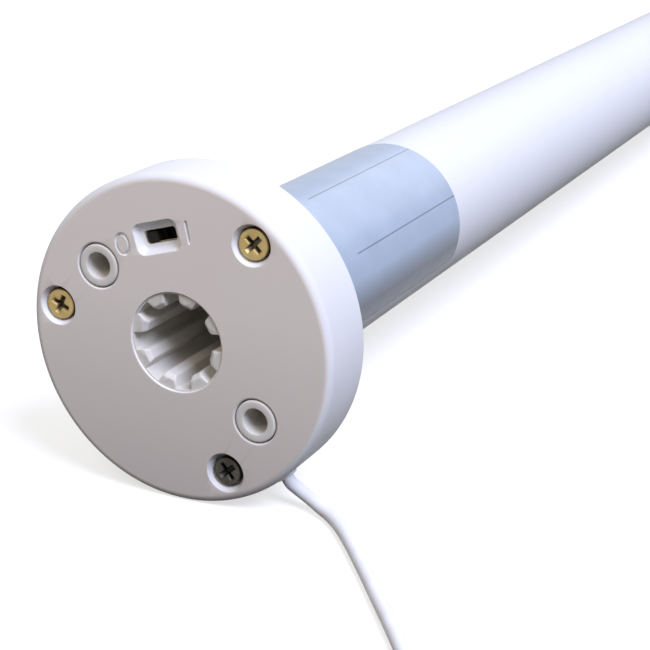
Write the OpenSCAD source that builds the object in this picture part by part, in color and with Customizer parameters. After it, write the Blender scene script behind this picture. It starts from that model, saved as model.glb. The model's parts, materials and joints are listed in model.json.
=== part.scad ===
// Tubular roller blind motor with a built-in battery, lying on its side.
// X runs along the motor from the face of its head, the face being at x = 0.
// Inside the modules z is the distance along the motor and an angle counts
// from +Y towards +Z, as the face is seen.

/* [Head] */
// Diameter of the round head
head_d = 44.5; // [44:0.1:48]
// Length of the head along the motor
head_l = 9.7; // [9.5:0.1:12]
// Radius on the front edge of the head
head_round = 1.1; // [0.4:0.1:1.6]
// Thickness of the cover's face
face_t = 2.0; // [1.8:0.1:2.2]
// Thickness of the cover's rim
rim_t = 1.6; // [1.2:0.1:2]
// Thickness of the base's flange
flange_t = 2.8; // [2.4:0.1:3.2]

/* [Bracket socket] */
// Diameter of the opening in the cover's face
socket_open_d = 13.5; // [13.3:0.1:14]
// Diameter across the roots between the teeth
socket_root_d = 13.0; // [12.6:0.1:13.2]
// Diameter across the tips of the teeth
socket_tip_d = 9.6; // [9:0.1:10]
// Width of each gap between two teeth
socket_gap_w = 2.3; // [2:0.1:2.6]
// Number of teeth, an even number
socket_teeth = 8; // [6:2:8]
// Depth of the teeth along the motor
socket_l = 21; // [16:0.5:22]
// How far the teeth lie behind the face
socket_set = 0.3; // [0.2:0.1:0.6]
// Diameter of the tube round the socket
socket_tube_d = 16.4; // [16:0.1:16.6]

/* [Bracket pin holes] */
// Diameter of the circle through the two pin holes
pin_pcd = 28.9; // [28.5:0.1:29.5]
// Diameter of a pin hole
pin_hole_d = 3.6; // [3:0.1:4]
// Outer diameter of the post round a pin hole
pin_post_d = 5.75; // [5.2:0.05:5.8]
// Depth of a pin hole
pin_hole_l = 7.5; // [5:0.5:8.5]

/* [Cover screws] */
// Distance of a screw's axis from the head's edge
screw_inset = 4; // [3.9:0.05:4.4]
// Diameter of the pocket over a screw
pocket_d = 5.25; // [5:0.05:5.6]
// Depth of the pocket over a screw
pocket_l = 1.8; // [1.7:0.1:2.6]
// Diameter of a screw's head
screw_head_d = 4.4; // [4:0.1:4.8]
// Height of a screw's head
screw_head_l = 1.3; // [1:0.1:1.6]
// Diameter of a screw's shank
screw_d = 2.4; // [2:0.1:2.6]
// Length of a screw's shank
screw_l = 6.4; // [5:0.1:7]

/* [Power switch] */
// Length of the recess in the face
recess_l = 6.6; // [6.3:0.1:6.8]
// Width of the recess in the face
recess_w = 4.1; // [3.9:0.1:4.3]
// Depth of the recess
recess_t = 1.1; // [0.8:0.1:1.2]
// Length of the slot that the lever moves in
slot_l = 4.5; // [4.2:0.1:4.9]
// Width of the slot
slot_w = 1.75; // [1.5:0.05:1.9]
// Length of the lever's tip
lever_l = 1.6; // [1.4:0.1:2]
// Distance of the switch from the motor's axis
switch_r = 14; // [13.8:0.1:14.3]

/* [Tube] */
// Outer diameter of the motor tube
tube_d = 25; // [24.9:0.05:25.1]
// Wall of the motor tube
tube_t = 0.8; // [0.7:0.05:0.85]
// Thickness of the label film
label_t = 0.1; // [0.05:0.01:0.2]
// Length of the label film
label_l = 58; // [40:1:70]

/* [Electronics and battery] */
// Length of the tray that holds the circuit board
board_tray_l = 86; // [80:1:100]
// Width of the circuit board
board_w = 19; // [17:0.5:19.5]
// Thickness of the circuit board
board_t = 1.2; // [1:0.1:1.6]
// Diameter of a battery cell
cell_d = 18.3; // [18:0.1:18.5]
// Length of a battery cell
cell_l = 65; // [63:0.5:68]

/* [Motor] */
// Diameter of the motor's can
can_d = 21.8; // [21:0.1:22]
// Length of the motor's can
can_l = 42; // [40:0.5:50]
// Diameter of the armature
armature_d = 12.4; // [11:0.1:12.8]
// Length of the armature's core
core_l = 22; // [18:0.5:24]
// Diameter of the armature's shaft
shaft_d = 2.3; // [2:0.1:2.6]

/* [Gear train] */
// Module of the gears
gear_m = 0.4; // [0.39:0.005:0.405]
// Teeth of each sun gear, a multiple of three
sun_teeth = 15; // [12:3:18]
// Teeth of each planet gear, a multiple of six
planet_teeth = 18; // [12:6:18]
// Width of the first stage's planets
gear_w1 = 6; // [5:0.5:8]
// Width of the second stage's planets
gear_w2 = 8; // [6:0.5:10]
// Width of the third stage's planets
gear_w3 = 12; // [9:0.5:14]
// Diameter of the pins that carry the planets
planet_pin_d = 2.4; // [2:0.1:2.8]

/* [Drive end] */
// Diameter of the output shaft in its bush
output_d = 8; // [7:0.1:8.5]
// Size across flats of the output shaft's hexagon
hex_af = 7; // [6.5:0.1:7.2]
// Diameter of the drive wheel's rim
wheel_d = 35.4; // [34:0.1:38]
// Width of the drive wheel
wheel_w = 14; // [12:0.5:18]
// Wall of the drive wheel's rim
wheel_t = 2; // [1.6:0.1:2.4]

/* [Charging lead] */
// Diameter of the lead
lead_d = 1.8; // [1.6:0.1:1.8]
// Radius of the coil's outermost turn
coil_r = 11.2; // [11.2:0.1:14]
// Distance between two turns that lie side by side
coil_pitch = 2.7; // [2.7:0.05:3]
// Distance between the coil's two layers
coil_layer = 2.4; // [2.4:0.05:2.6]
// Length of the connector's moulded body
plug_l = 20; // [16:0.5:26]
// Width of the connector's moulded body
plug_w = 11; // [10.5:0.1:12]
// Height of the connector's moulded body
plug_h = 6.6; // [6:0.1:6.6]

/* [Hidden] */
$fn = 64;

// Clearances between pieces
fit = 0.1;
slip = 0.02;
run_fit = 0.05;
end_gap = 0.4;
over = 1;

// Angles on the face
pin_angle = 38;
screw_angles = [8, 128];
dark_screw_angle = 248;
switch_angle = 80.3;
switch_turn = -5.7;
lead_angle = 234;
fixing_angles = [285, 345];
label_angles = [5, 205.5];
wire_angles = [66, 82, 98, 114];

// Head
head_r = head_d / 2;
rim_in_r = head_r - rim_t;
screw_r = head_r - screw_inset;
flange_x = head_l - flange_t;
boss_d = pocket_d + 0.8;
boss_x = pocket_l + 1.2;
post_gap = 0.175;
mouth_break = 0.2;
pocket_break = 0.1;
post_break = 0.25;
hole_break = 0.15;
tooth_break = 0.6;
collar_t = 1.2;
recess_corner = 1.1;
recess_ledge = 0.5;
slot_corner = 0.3;
spigot_l = 14.3;
spigot_end = head_l + spigot_l;
spigot_wall = 1;
end_wall_t = 2;
socket_end = socket_set + socket_l;

// Tube and what lies in it
tube_r = tube_d / 2;
bore_r = tube_r - tube_t;
plug_r = bore_r - fit;
label_gap = 0.6;
tray_wall = 1.2;
tray_r = bore_r - 2 * fit;
board_x = spigot_end + 2;
board_y = -2;
component_y = board_y + board_t;
lead_end = board_x + 3;
battery_x = board_x + board_tray_l + 2;
cell_gap = 1.4;
cell_r = cell_d / 2;
battery_wall = 1.5;
cell_x1 = battery_x + battery_wall + 1.2;
cell_x2 = cell_x1 + cell_l + cell_gap;
battery_end = cell_x2 + cell_l + 1.2 + battery_wall;
wire_d = 1.2;
wire_r = bore_r - wire_d;

// Motor
encoder_x = battery_end + 4;
encoder_t = 1.2;
magnet_x = encoder_x + encoder_t + 1;
magnet_l = 3;
bell_x = magnet_x + magnet_l + 1;
bell_t = 3;
can_x = bell_x + bell_t;
can_r = can_d / 2;
can_wall = 1;
can_end = can_x + can_l;
nose_r = 3.2;
nose_l = 1.5;
shaft_r = shaft_d / 2;
bush_r = 2.4;
bush_l = 2.6;
core_x = can_x + 9;
core_r = armature_d / 2;
pole_gap = 0.6;

// Gear train
planets = 3;
ring_teeth = sun_teeth + 2 * planet_teeth;
pressure = 25;
addendum = 0.8;
dedendum = 1;
backlash = 0.05;
orbit_r = gear_m * (sun_teeth + planet_teeth) / 2;
ring_tip_r = gear_m * (ring_teeth / 2 - addendum);
plate_t = 2;
plate_x = can_end;
ring_x = plate_x + plate_t;
stage1_x = ring_x + end_gap;
disc1_x = stage1_x + gear_w1 + end_gap;
disc1_t = 2;
stage2_x = disc1_x + disc1_t + end_gap;
disc2_x = stage2_x + gear_w2 + end_gap;
disc2_t = 2.5;
stage3_x = disc2_x + disc2_t + end_gap;
disc3_x = stage3_x + gear_w3 + end_gap;
disc3_t = 3.5;
disc_r = ring_tip_r - 0.3;
tongue_l = 3;
tongue_af = 5.9;
ring_end = disc3_x + disc3_t + end_gap;

// Drive end
cap_l = 15;
cap_flange_t = 3;
cap_break = 0.6;
tube_end = ring_end + cap_l;
cap_end = tube_end + cap_flange_t;
output_r = output_d / 2;
output_bush_r = output_r + 3;
wheel_x = cap_end + 1;
wheel_end = wheel_x + wheel_w;
hub_r = hex_af / 2 / cos(30) + 2.6;
wheel_r = wheel_d / 2;
web_t = 2.5;
wheel_spokes = 6;
key_w = 2;
key_t = 0.8;
washer_t = 0.8;
washer_r = 5;
wheel_screw_r = 2;
wheel_screw_l = 10;
wheel_screw_head_r = 3.6;
wheel_screw_head_l = 2.2;

// Charging lead. The motor lies on its head's rim, and the lead on the same surface.
lead_r = lead_d / 2;
floor_z = -head_r;
lie_z = floor_z + lead_r;
exit_x = 5.2;
grommet_r = 1.6;
grommet_lip = 0.7;
grommet_proud = 0.35;
exit_r = head_r + grommet_proud;
exit_dir = [0, cos(lead_angle), sin(lead_angle)];
lead_exit = [exit_x, 0, 0] + exit_r * exit_dir;
lead_bend = 3;
lead_gap = 0.3;
lead_slot_r = socket_tube_d / 2 + lead_r + fit;
run_sides = 8;
run_steps = [
    [5.1, -13.9, -19.0],
    [5.0, -14.8, -19.5],
    [4.8, -16.1, -20.1],
    [4.4, -17.5, -20.6],
    [3.8, -18.9, -21.0],
    [3.0, -20.4, -21.25],
    [1.8, -21.9, lie_z],
    [0.3, -23.4, lie_z],
    [-2.7, -26.0, lie_z],
    [-6.6, -29.1, lie_z],
    [-10.6, -32.2, lie_z],
    [-14.3, -35.0, lie_z],
    [-18.9, -38.5, lie_z],
    [-23.9, -42.2, lie_z],
    [-29.5, -46.2, lie_z]];
coil_start = [-38, -52.1, lie_z];
coil_heading = 214.8;
coil_in_turns = 1.5;
coil_climb_turns = 0.5;
coil_out_turns = 1.25;
coil_tail = 9.5;
coil_steps = 24;
coil_sides = 6;
start_dir = [cos(coil_heading), sin(coil_heading), 0];
coil_in = coil_start - lead_d * start_dir;
coil_centre = coil_start + coil_r * [sin(coil_heading), -cos(coil_heading), 0];
boot_l = 8;
boot_r = 2.1;
boot_tip_r = 1.35;
plug_corner = 1.8;
shell_w = 8.9;
shell_h = 3.2;
shell_l = 6.5;
shell_t = 0.35;

// Frames and plain shapes

// Sets a shape that was drawn along z on the motor's own axis
module on_axis() {
    rotate([90, 0, 90]) children();
}

// A place on the face at a distance from the axis and an angle
module at(r, a) {
    rotate([0, 0, a]) translate([r, 0, 0]) children();
}

// Sets a shape that was drawn along z on a line that leaves the axis at x and at an angle
module spoke(a, x) {
    rotate([0, 0, a]) translate([0, 0, x]) rotate([0, 90, 0]) children();
}

module rod(r, z0, z1) {
    translate([0, 0, z0]) cylinder(r = r, h = z1 - z0);
}

module pipe(r_out, r_in, z0, z1) {
    difference() {
        rod(r_out, z0, z1);
        rod(r_in, z0 - over, z1 + over);
    }
}

module pipe_sector(r_out, r_in, z0, z1, a0, a1) {
    rotate([0, 0, a0]) rotate_extrude(angle = a1 - a0)
        translate([r_in, z0]) square([r_out - r_in, z1 - z0]);
}

// A block centred on x and y, from z0 to z1
module block(x, y, z0, z1) {
    translate([-x / 2, -y / 2, z0]) cube([x, y, z1 - z0]);
}

// A rectangle with round corners, centred
module round_oblong(x, y, corner) {
    square([x - 2 * corner, y], center = true);
    square([x, y - 2 * corner], center = true);
    for (sx = [-1, 1]) for (sy = [-1, 1])
        translate([sx * (x / 2 - corner), sy * (y / 2 - corner)]) circle(r = corner);
}

// A hexagonal bar of the given size across flats
module hex_bar(af, z0, z1) {
    translate([0, 0, z0]) cylinder(r = af / 2 / cos(30), h = z1 - z0, $fn = 6);
}

// A domed screw with a cross recess, its head's seat at z = 0 and its shank along +z
module cross_screw(head_r, head_h, shank_r, shank_l) {
    dome_r = (head_r * head_r + head_h * head_h) / (2 * head_h) + head_r * 0.4;
    cross_w = head_r * 0.26;
    difference() {
        union() {
            intersection() {
                rod(head_r, -head_h, 0);
                translate([0, 0, dome_r - head_h]) sphere(r = dome_r);
            }
            rod(shank_r, -head_h / 4, shank_l);
        }
        for (turn = [0, 90])
            rotate([0, 0, turn]) block(head_r * 1.15, cross_w, -head_h - over, -head_h * 0.4);
    }
}

// Head

module cover_profile() {
    difference() {
        union() {
            square([head_r - head_round, head_l]);
            translate([0, head_round]) square([head_r, head_l - head_round]);
            translate([head_r - head_round, head_round]) circle(r = head_round);
        }
        translate([0, face_t]) square([rim_in_r, head_l]);
    }
}

// A cone that breaks the edge of a hole of radius r in the face
module mouth_chamfer(r, size) {
    translate([0, 0, -slip]) cylinder(r1 = r + size + slip, r2 = r, h = size + slip);
}

module switch_place() {
    at(switch_r, switch_angle) rotate([0, 0, switch_turn]) children();
}

// A thin plate with round corners
module round_plate(x, y, corner, z) {
    for (sx = [-1, 1]) for (sy = [-1, 1])
        translate([sx * (x / 2 - corner), sy * (y / 2 - corner), z]) cylinder(r = corner, h = slip, $fn = 24);
}

// A hollow with round corners and sloping sides, and the lever's slot in its floor
module switch_recess() {
    floor_w = slot_w + 2 * recess_ledge;
    floor_l = slot_l + 2 * recess_ledge;
    floor_corner = recess_corner * floor_w / recess_w;
    switch_place() {
        hull() {
            round_plate(recess_w, recess_l, recess_corner, -slip);
            round_plate(floor_w, floor_l, floor_corner, recess_t - slip);
        }
        translate([0, 0, recess_t / 2]) linear_extrude(boss_x - recess_t / 2)
            round_oblong(slot_w, slot_l, slot_corner);
    }
}

module head_cover() {
    color([0.80, 0.79, 0.77]) on_axis() difference() {
        union() {
            rotate_extrude() cover_profile();
            for (a = concat(screw_angles, [dark_screw_angle]))
                at(screw_r, a) intersection() {
                    rod(boss_d / 2, face_t / 2, boss_x);
                    translate([-screw_r, 0, 0]) rod(rim_in_r + rim_t / 2, 0, head_l);
                }
            rod(socket_tube_d / 2 + fit + collar_t, face_t / 2, boss_x);
        }
        rod(socket_open_d / 2, -over, boss_x);
        mouth_chamfer(socket_open_d / 2, socket_set / 2);
        rod(socket_tube_d / 2 + fit, socket_set, boss_x + over);
        for (a = [pin_angle, pin_angle + 180])
            at(pin_pcd / 2, a) {
                rod(pin_post_d / 2 + post_gap, -over, boss_x + over);
                mouth_chamfer(pin_post_d / 2 + post_gap, mouth_break);
            }
        for (a = concat(screw_angles, [dark_screw_angle]))
            at(screw_r, a) {
                rod(pocket_d / 2, -over, pocket_l);
                mouth_chamfer(pocket_d / 2, pocket_break);
                rod(screw_d / 2 + fit, pocket_l - over, boss_x + over);
            }
        switch_recess();
        spoke(lead_angle, exit_x) rod(grommet_r + slip, rim_in_r - over, head_r + over);
    }
}

// The gaps between the teeth run across the axis, so one bar cuts two of them
module socket_void() {
    rotate([0, 0, pin_angle + 180 / socket_teeth]) {
        rod(socket_tip_d / 2, socket_set - over, socket_end);
        translate([0, 0, socket_set]) mouth_chamfer(socket_tip_d / 2, tooth_break);
    }
    intersection() {
        rod(socket_root_d / 2, socket_set - over, socket_end);
        for (k = [0 : socket_teeth / 2 - 1])
            rotate([0, 0, pin_angle + k * 360 / socket_teeth])
                block(2 * socket_root_d, socket_gap_w, socket_set - over, socket_end);
    }
}

module head_base() {
    color([0.86, 0.86, 0.85]) on_axis() difference() {
        union() {
            rod(rim_in_r - fit, flange_x, head_l);
            rod(socket_tube_d / 2, socket_set, spigot_end);
            for (a = [pin_angle, pin_angle + 180])
                at(pin_pcd / 2, a) {
                    rod(pin_post_d / 2, post_break, flange_x + over);
                    cylinder(r1 = pin_post_d / 2 - post_break, r2 = pin_post_d / 2, h = post_break);
                }
            for (a = concat(screw_angles, [dark_screw_angle]))
                at(screw_r, a) intersection() {
                    rod(boss_d / 2 - fit, boss_x + slip, flange_x + over);
                    translate([-screw_r, 0, 0]) rod(rim_in_r - 2 * fit, 0, head_l);
                }
            pipe(plug_r, plug_r - spigot_wall, head_l - over, spigot_end);
            rod(plug_r, spigot_end - end_wall_t, spigot_end);
        }
        socket_void();
        for (a = [pin_angle, pin_angle + 180])
            at(pin_pcd / 2, a) {
                rod(pin_hole_d / 2, -over, pin_hole_l);
                mouth_chamfer(pin_hole_d / 2, hole_break);
            }
        for (a = concat(screw_angles, [dark_screw_angle]))
            at(screw_r, a) rod(screw_d / 2 + slip, boss_x - over, head_l + over);
        at(lead_slot_r + lead_bend / 2, lead_angle)
            block(lead_bend + lead_d + 2 * lead_gap, lead_d + 2 * lead_gap, flange_x - over, head_l + over);
        at(lead_slot_r, lead_angle) rod(lead_r + lead_gap, head_l, spigot_end + over);
        spoke(lead_angle, exit_x) rod(grommet_r + grommet_lip + fit, rim_in_r - 2, head_r);
        for (a = fixing_angles)
            spoke(a, fixing_x[0]) rod(fixing_r + slip, tube_r - fixing_l - over, tube_r);
    }
}

module cover_screw(a) {
    on_axis() at(screw_r, a) translate([0, 0, pocket_l])
        cross_screw(screw_head_d / 2, screw_head_l, screw_d / 2, screw_l);
}

module brass_cover_screws() {
    color([0.72, 0.60, 0.34]) for (a = screw_angles) cover_screw(a);
}

module dark_cover_screw() {
    color([0.24, 0.22, 0.18]) cover_screw(dark_screw_angle);
}

// Power switch. Its lever rests at the O side, which is the low-angle end of the slot.
switch_x = face_t + fit;
switch_l = slot_l + 3.4;
switch_w = slot_w + 2;
switch_h = 2.9;
lever_foot_t = 1;
lever_side = 0.12;
switch_travel = slot_l - lever_l - 2 * lever_side;
lever_y = -slot_l / 2 + lever_side + lever_l / 2;
echo(switch_travel_mm = switch_travel);

module switch_body() {
    color([0.16, 0.16, 0.17]) on_axis() switch_place() difference() {
        block(switch_w, switch_l, switch_x, switch_x + switch_h);
        block(slot_w + 0.6, slot_l + 2.2, switch_x + 0.5, switch_x + 0.5 + lever_foot_t + 2 * lever_side);
        block(slot_w, slot_l, switch_x - over, switch_x + 0.5 + lever_side);
    }
}

module switch_lever() {
    color([0.11, 0.10, 0.09]) on_axis() switch_place() translate([0, lever_y, 0]) {
        block(slot_w - 2 * lever_side, lever_l, recess_t + 0.1, switch_x + 1);
        block(slot_w + 0.6 - 2 * lever_side, lever_l + 1.6, switch_x + 0.5 + lever_side,
            switch_x + 0.5 + lever_side + lever_foot_t);
    }
}

module head_board() {
    board_end = switch_x + switch_h;
    color([0.10, 0.36, 0.22]) on_axis()
        pipe_sector(rim_in_r - 1, socket_tube_d / 2 + fit + 1.4, board_end, flange_x, 52, 115);
}

// Charging lead

module lead_grommet() {
    color([0.92, 0.92, 0.92]) on_axis() spoke(lead_angle, exit_x) {
        pipe(grommet_r, lead_r + slip, rim_in_r - 1, exit_r);
        pipe(grommet_r + grommet_lip, lead_r + slip, rim_in_r - 1, rim_in_r - 3 * fit);
    }
}

// The end inside the head: in through the rim, round a bend and along beside the socket
module lead_inner_end() {
    color([0.90, 0.90, 0.90]) on_axis() at(lead_slot_r, lead_angle) {
        translate([0, 0, exit_x]) rotate([0, 90, 0]) rod(lead_r, lead_bend, exit_r - lead_slot_r);
        translate([lead_bend, 0, exit_x + lead_bend]) rotate([90, 0, 0]) rotate([0, 0, 180])
            rotate_extrude(angle = 90) translate([lead_bend, 0]) circle(r = lead_r);
        rod(lead_r, exit_x + lead_bend, lead_end);
    }
}

function unit(v) = v / norm(v);
function last(list) = list[len(list) - 1];
function mid_dirs(p) = [for (i = [1 : len(p) - 2]) unit(p[i + 1] - p[i - 1])];
function ring_of(c, t, r, sides) =
    let (across = unit(cross(t, [0, 0, 1])), up = cross(across, t))
    [for (j = [0 : sides - 1]) c + r * (cos(360 * j / sides + 90) * across + sin(360 * j / sides + 90) * up)];

// A tube along points p, square to the directions dirs
module swept_tube(p, dirs, r, sides) {
    n = len(p);
    rings = [for (i = [0 : n - 1]) each ring_of(p[i], dirs[i], r, sides)];
    skin = [for (i = [0 : n - 2]) for (j = [0 : sides - 1])
        let (a = i * sides + j, b = i * sides + (j + 1) % sides)
        each [[a, b, b + sides], [a, b + sides, a + sides]]];
    first_cap = [for (j = [1 : sides - 2]) [0, j + 1, j]];
    last_cap = [for (j = [1 : sides - 2]) [(n - 1) * sides, (n - 1) * sides + j, (n - 1) * sides + j + 1]];
    polyhedron(points = rings, faces = concat(skin, first_cap, last_cap));
}

run_points = concat([lead_exit], run_steps, [coil_in]);
run_dirs = concat([exit_dir], mid_dirs(run_points), [start_dir]);

module lead_run() {
    color([0.95, 0.95, 0.96]) swept_tube(run_points, run_dirs, lead_r, run_sides);
}

// The coil spirals in on the surface, climbs a layer in half a turn and spirals out again on top
function coil_radius(turn) = turn < coil_in_turns ? coil_r - coil_pitch * turn
    : coil_r - coil_pitch * coil_in_turns + coil_pitch * max(0, turn - coil_in_turns - coil_climb_turns);
function smooth(s) = s * s * (3 - 2 * s);
function coil_height(turn) =
    lie_z + coil_layer * smooth(max(0, min(1, (turn - coil_in_turns) / coil_climb_turns)));
function coil_point(turn) =
    let (a = coil_heading + 90 - 360 * turn)
    [coil_centre.x, coil_centre.y, coil_height(turn)] + coil_radius(turn) * [cos(a), sin(a), 0];
function coil_dir(turn) =
    let (a = coil_heading - 360 * turn)
    [cos(a), sin(a), 0];

coil_turns = coil_in_turns + coil_climb_turns + coil_out_turns;
coil_rings = coil_turns * coil_steps;
coil_loops = [for (i = [0 : coil_rings]) coil_point(i / coil_steps)];
tail_dir = coil_dir(coil_turns);
tail_end = last(coil_loops) + coil_tail * tail_dir;
coil_points = concat([coil_in], coil_loops, [tail_end - lead_d * tail_dir, tail_end]);
coil_mid = mid_dirs(coil_points);
coil_dirs = concat([start_dir], coil_mid, [tail_dir]);

function length_of(p) = [for (i = [1 : len(p) - 1]) norm(p[i] - p[i - 1])] * [for (i = [2 : len(p)]) 1];
function least_gap(p, apart) =
    min([for (i = [0 : len(p) - 1 - apart]) for (j = [i + apart : len(p) - 1]) norm(p[i] - p[j])]) - lead_d;
echo(coil_least_gap_mm = least_gap(coil_points, coil_steps / 2));
echo(lead_length_mm = length_of(run_points) + length_of(coil_points));

module lead_coil() {
    color([0.95, 0.95, 0.96]) swept_tube(coil_points, coil_dirs, lead_r, coil_sides);
}

// Sets a shape that was drawn along z at the coil's tail, with y upwards
module at_tail() {
    translate(tail_end) rotate([0, 0, coil_heading - 360 * coil_turns]) rotate([90, 0, 90]) children();
}

module lead_connector() {
    color([0.93, 0.93, 0.93]) at_tail() translate([0, floor_z + plug_h / 2 - tail_end.z, 0]) difference() {
        union() {
            cylinder(r1 = boot_tip_r, r2 = boot_r, h = boot_l);
            rod(boot_r, boot_l, boot_l + over);
            intersection() {
                union() {
                    for (x = [-1, 1])
                        translate([x * (plug_w - plug_h) / 2, 0, 0]) rod(plug_h / 2, boot_l, boot_l + plug_l);
                    block(plug_w - plug_h, plug_h, boot_l, boot_l + plug_l);
                }
                translate([0, plug_h, boot_l + plug_l / 2]) rotate([90, 0, 0])
                    linear_extrude(2 * plug_h) round_oblong(plug_w + slip, plug_l + slip, plug_corner);
            }
        }
        plug_mouth(0, boot_l + plug_l + over);
    }
}

// The rounded outline of the connector's metal mouth, smaller by inset
module plug_mouth(inset, z_end) {
    z0 = boot_l + plug_l - shell_l;
    for (x = [-1, 1])
        translate([x * (shell_w - shell_h) / 2, 0, 0]) rod(shell_h / 2 - inset, z0, z_end);
    block(shell_w - shell_h, shell_h - 2 * inset, z0, z_end);
}

module connector_shell() {
    plug_end = boot_l + plug_l;
    color([0.75, 0.76, 0.78]) at_tail() translate([0, floor_z + plug_h / 2 - tail_end.z, 0]) {
        difference() {
            plug_mouth(slip, plug_end);
            translate([0, 0, 0.6]) plug_mouth(shell_t, plug_end + over);
        }
        block(shell_w - shell_h, 0.7, plug_end - shell_l, plug_end - 1);
    }
}

// Tube

// Small screws hold the tube to the head's spigot and to the cap at its far end
fixing_r = 1;
fixing_l = 2.2;
fixing_head_r = 1.7;
fixing_head_l = 0.6;
fixing_x = [head_l + 7, tube_end - 6];

module motor_tube() {
    color([0.95, 0.95, 0.97]) on_axis() difference() {
        pipe(tube_r, bore_r, head_l, tube_end);
        for (x = fixing_x) for (a = fixing_angles)
            spoke(a, x) rod(fixing_r + fit, bore_r - over, tube_r + over);
    }
}

module label_film() {
    label_x = head_l + label_gap;
    label_in_r = tube_r + slip;
    color([0.72, 0.77, 0.84]) on_axis()
        pipe_sector(label_in_r + label_t, label_in_r, label_x, label_x + label_l,
            label_angles[0], label_angles[1]);
}

module tube_screws() {
    color([0.75, 0.75, 0.76]) on_axis() for (x = fixing_x) for (a = fixing_angles)
        spoke(a, x) translate([0, 0, tube_r + slip]) mirror([0, 0, 1])
            cross_screw(fixing_head_r, fixing_head_l, fixing_r, fixing_l);
}

// Electronics

module board_tray() {
    tray_end = board_x + board_tray_l;
    ledge_w = 1.6;
    ledge_t = 1.2;
    collar_l = 4;
    color([0.20, 0.20, 0.22]) on_axis() difference() {
        union() {
            pipe_sector(tray_r, tray_r - tray_wall, board_x, tray_end, 190, 350);
            for (z = [board_x, tray_end - collar_l])
                pipe_sector(tray_r - slip, tray_r - tray_wall - slip, z, z + collar_l, 135, 405);
            intersection() {
                rod(tray_r - tray_wall / 2, board_x, tray_end);
                for (side = [-1, 1])
                    translate([side * (board_w / 2 + 0.4), board_y - slip - ledge_t / 2, 0])
                        block(2 * ledge_w, ledge_t, board_x + 1, tray_end - 1);
            }
        }
        at(lead_slot_r, lead_angle) rod(lead_r + lead_gap, board_x - over, lead_end + lead_gap);
    }
}

module control_board() {
    color([0.08, 0.38, 0.24]) on_axis() translate([0, board_y + board_t / 2, 0])
        block(board_w, board_t, board_x + 1, board_x + board_tray_l - 1);
}

// The tall parts on the board, each as [width, height, length]. They stand in a row that is
// spread over the board's length.
terminal = [0.63 * board_w, 5, 5];
radio = [0.63 * board_w, 2.4, 15];
chip = [0.19 * board_w, 1, 5];
coil = [0.37 * board_w, 3.6, 7];
driver = [0.32 * board_w, 1.2, 5];
capacitor_r = 0.16 * board_w;
capacitor_h = 6.4;
part_room = board_tray_l - 14;
function part_place(share) = board_x + 5 + share * part_room;

// A part that stands on the board, its front end at a share of the board's length
module board_part(size, share, x = 0) {
    translate([x, component_y + slip + size[1] / 2, 0])
        block(size[0], size[1], part_place(share), part_place(share) + size[2]);
}

// Terminals, a shielded radio, chips, a coil, capacitors and the motor's driver
module board_components() {
    color([0.35, 0.36, 0.38]) on_axis() {
        board_part(terminal, 0);
        board_part(terminal, 1);
        board_part(radio, 0.125);
        for (side = [-1, 0, 1])
            board_part(chip, 0.39, side * 0.26 * board_w);
        board_part(coil, 0.51);
        for (side = [-1, 1])
            translate([side * 0.21 * board_w, component_y + slip, part_place(0.71)])
                rotate([-90, 0, 0]) cylinder(r = capacitor_r, h = capacitor_h);
        for (share = [0.79, 0.885])
            board_part(driver, share);
    }
}

// The aerial stands on the board and runs back under the tube's wall
module antenna_wire() {
    antenna_r = 0.35;
    antenna_x = 0.37 * board_w;
    antenna_h = sqrt(pow(bore_r - 1.2, 2) - pow(antenna_x, 2)) - component_y;
    antenna_l = part_room * 0.61;
    color([0.75, 0.45, 0.25]) on_axis() translate([antenna_x, component_y + slip, part_place(0.375)]) {
        rotate([-90, 0, 0]) cylinder(r = antenna_r, h = antenna_h);
        translate([0, antenna_h, 0]) sphere(r = antenna_r);
        translate([0, antenna_h, 0]) cylinder(r = antenna_r, h = antenna_l);
    }
}

// Battery

module battery_tray() {
    color([0.22, 0.22, 0.24]) on_axis() {
        pipe_sector(tray_r, cell_r + fit, battery_x, battery_end, 200, 340);
        for (z = [battery_x, battery_end - battery_wall])
            pipe(tray_r - wire_d - 0.6, 4, z, z + battery_wall);
        for (z = [battery_x, battery_end - battery_wall])
            pipe_sector(tray_r, tray_r - wire_d - 1, z, z + battery_wall, 130, 410);
    }
}

module battery_cell(z) {
    color([0.20, 0.45, 0.66]) on_axis() {
        rod(cell_r, z, z + cell_l - 0.8);
        rod(3.2, z + cell_l - 0.8 - slip, z + cell_l);
    }
}

module battery_cell_front() {
    battery_cell(cell_x1);
}

module battery_cell_rear() {
    battery_cell(cell_x2);
}

module battery_straps() {
    strap_t = 0.3;
    strap_w = cell_d / 3;
    strap_h = 2 * strap_w;
    color([0.74, 0.74, 0.72]) on_axis()
        for (z = [cell_x1 - slip - strap_t, cell_x1 + cell_l + slip,
                cell_x2 - slip - strap_t, cell_x2 + cell_l + slip])
            block(strap_w, strap_h, z, z + strap_t);
}

module motor_wires() {
    color([0.70, 0.14, 0.12]) on_axis() for (a = wire_angles)
        at(wire_r, a) rod(wire_d / 2, board_x + board_tray_l - 6, encoder_x - slip);
}

// Motor

module encoder_board() {
    color([0.10, 0.36, 0.22]) on_axis() {
        pipe(can_r - 0.4, shaft_r + 1, encoder_x, encoder_x + encoder_t);
        for (a = [60, 150])
            at(4, a) block(1.5, 3, encoder_x + encoder_t - slip, encoder_x + encoder_t + 0.6);
    }
}

module encoder_magnet() {
    color([0.28, 0.27, 0.28]) on_axis() pipe(5, shaft_r + slip, magnet_x, magnet_x + magnet_l);
}

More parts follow.
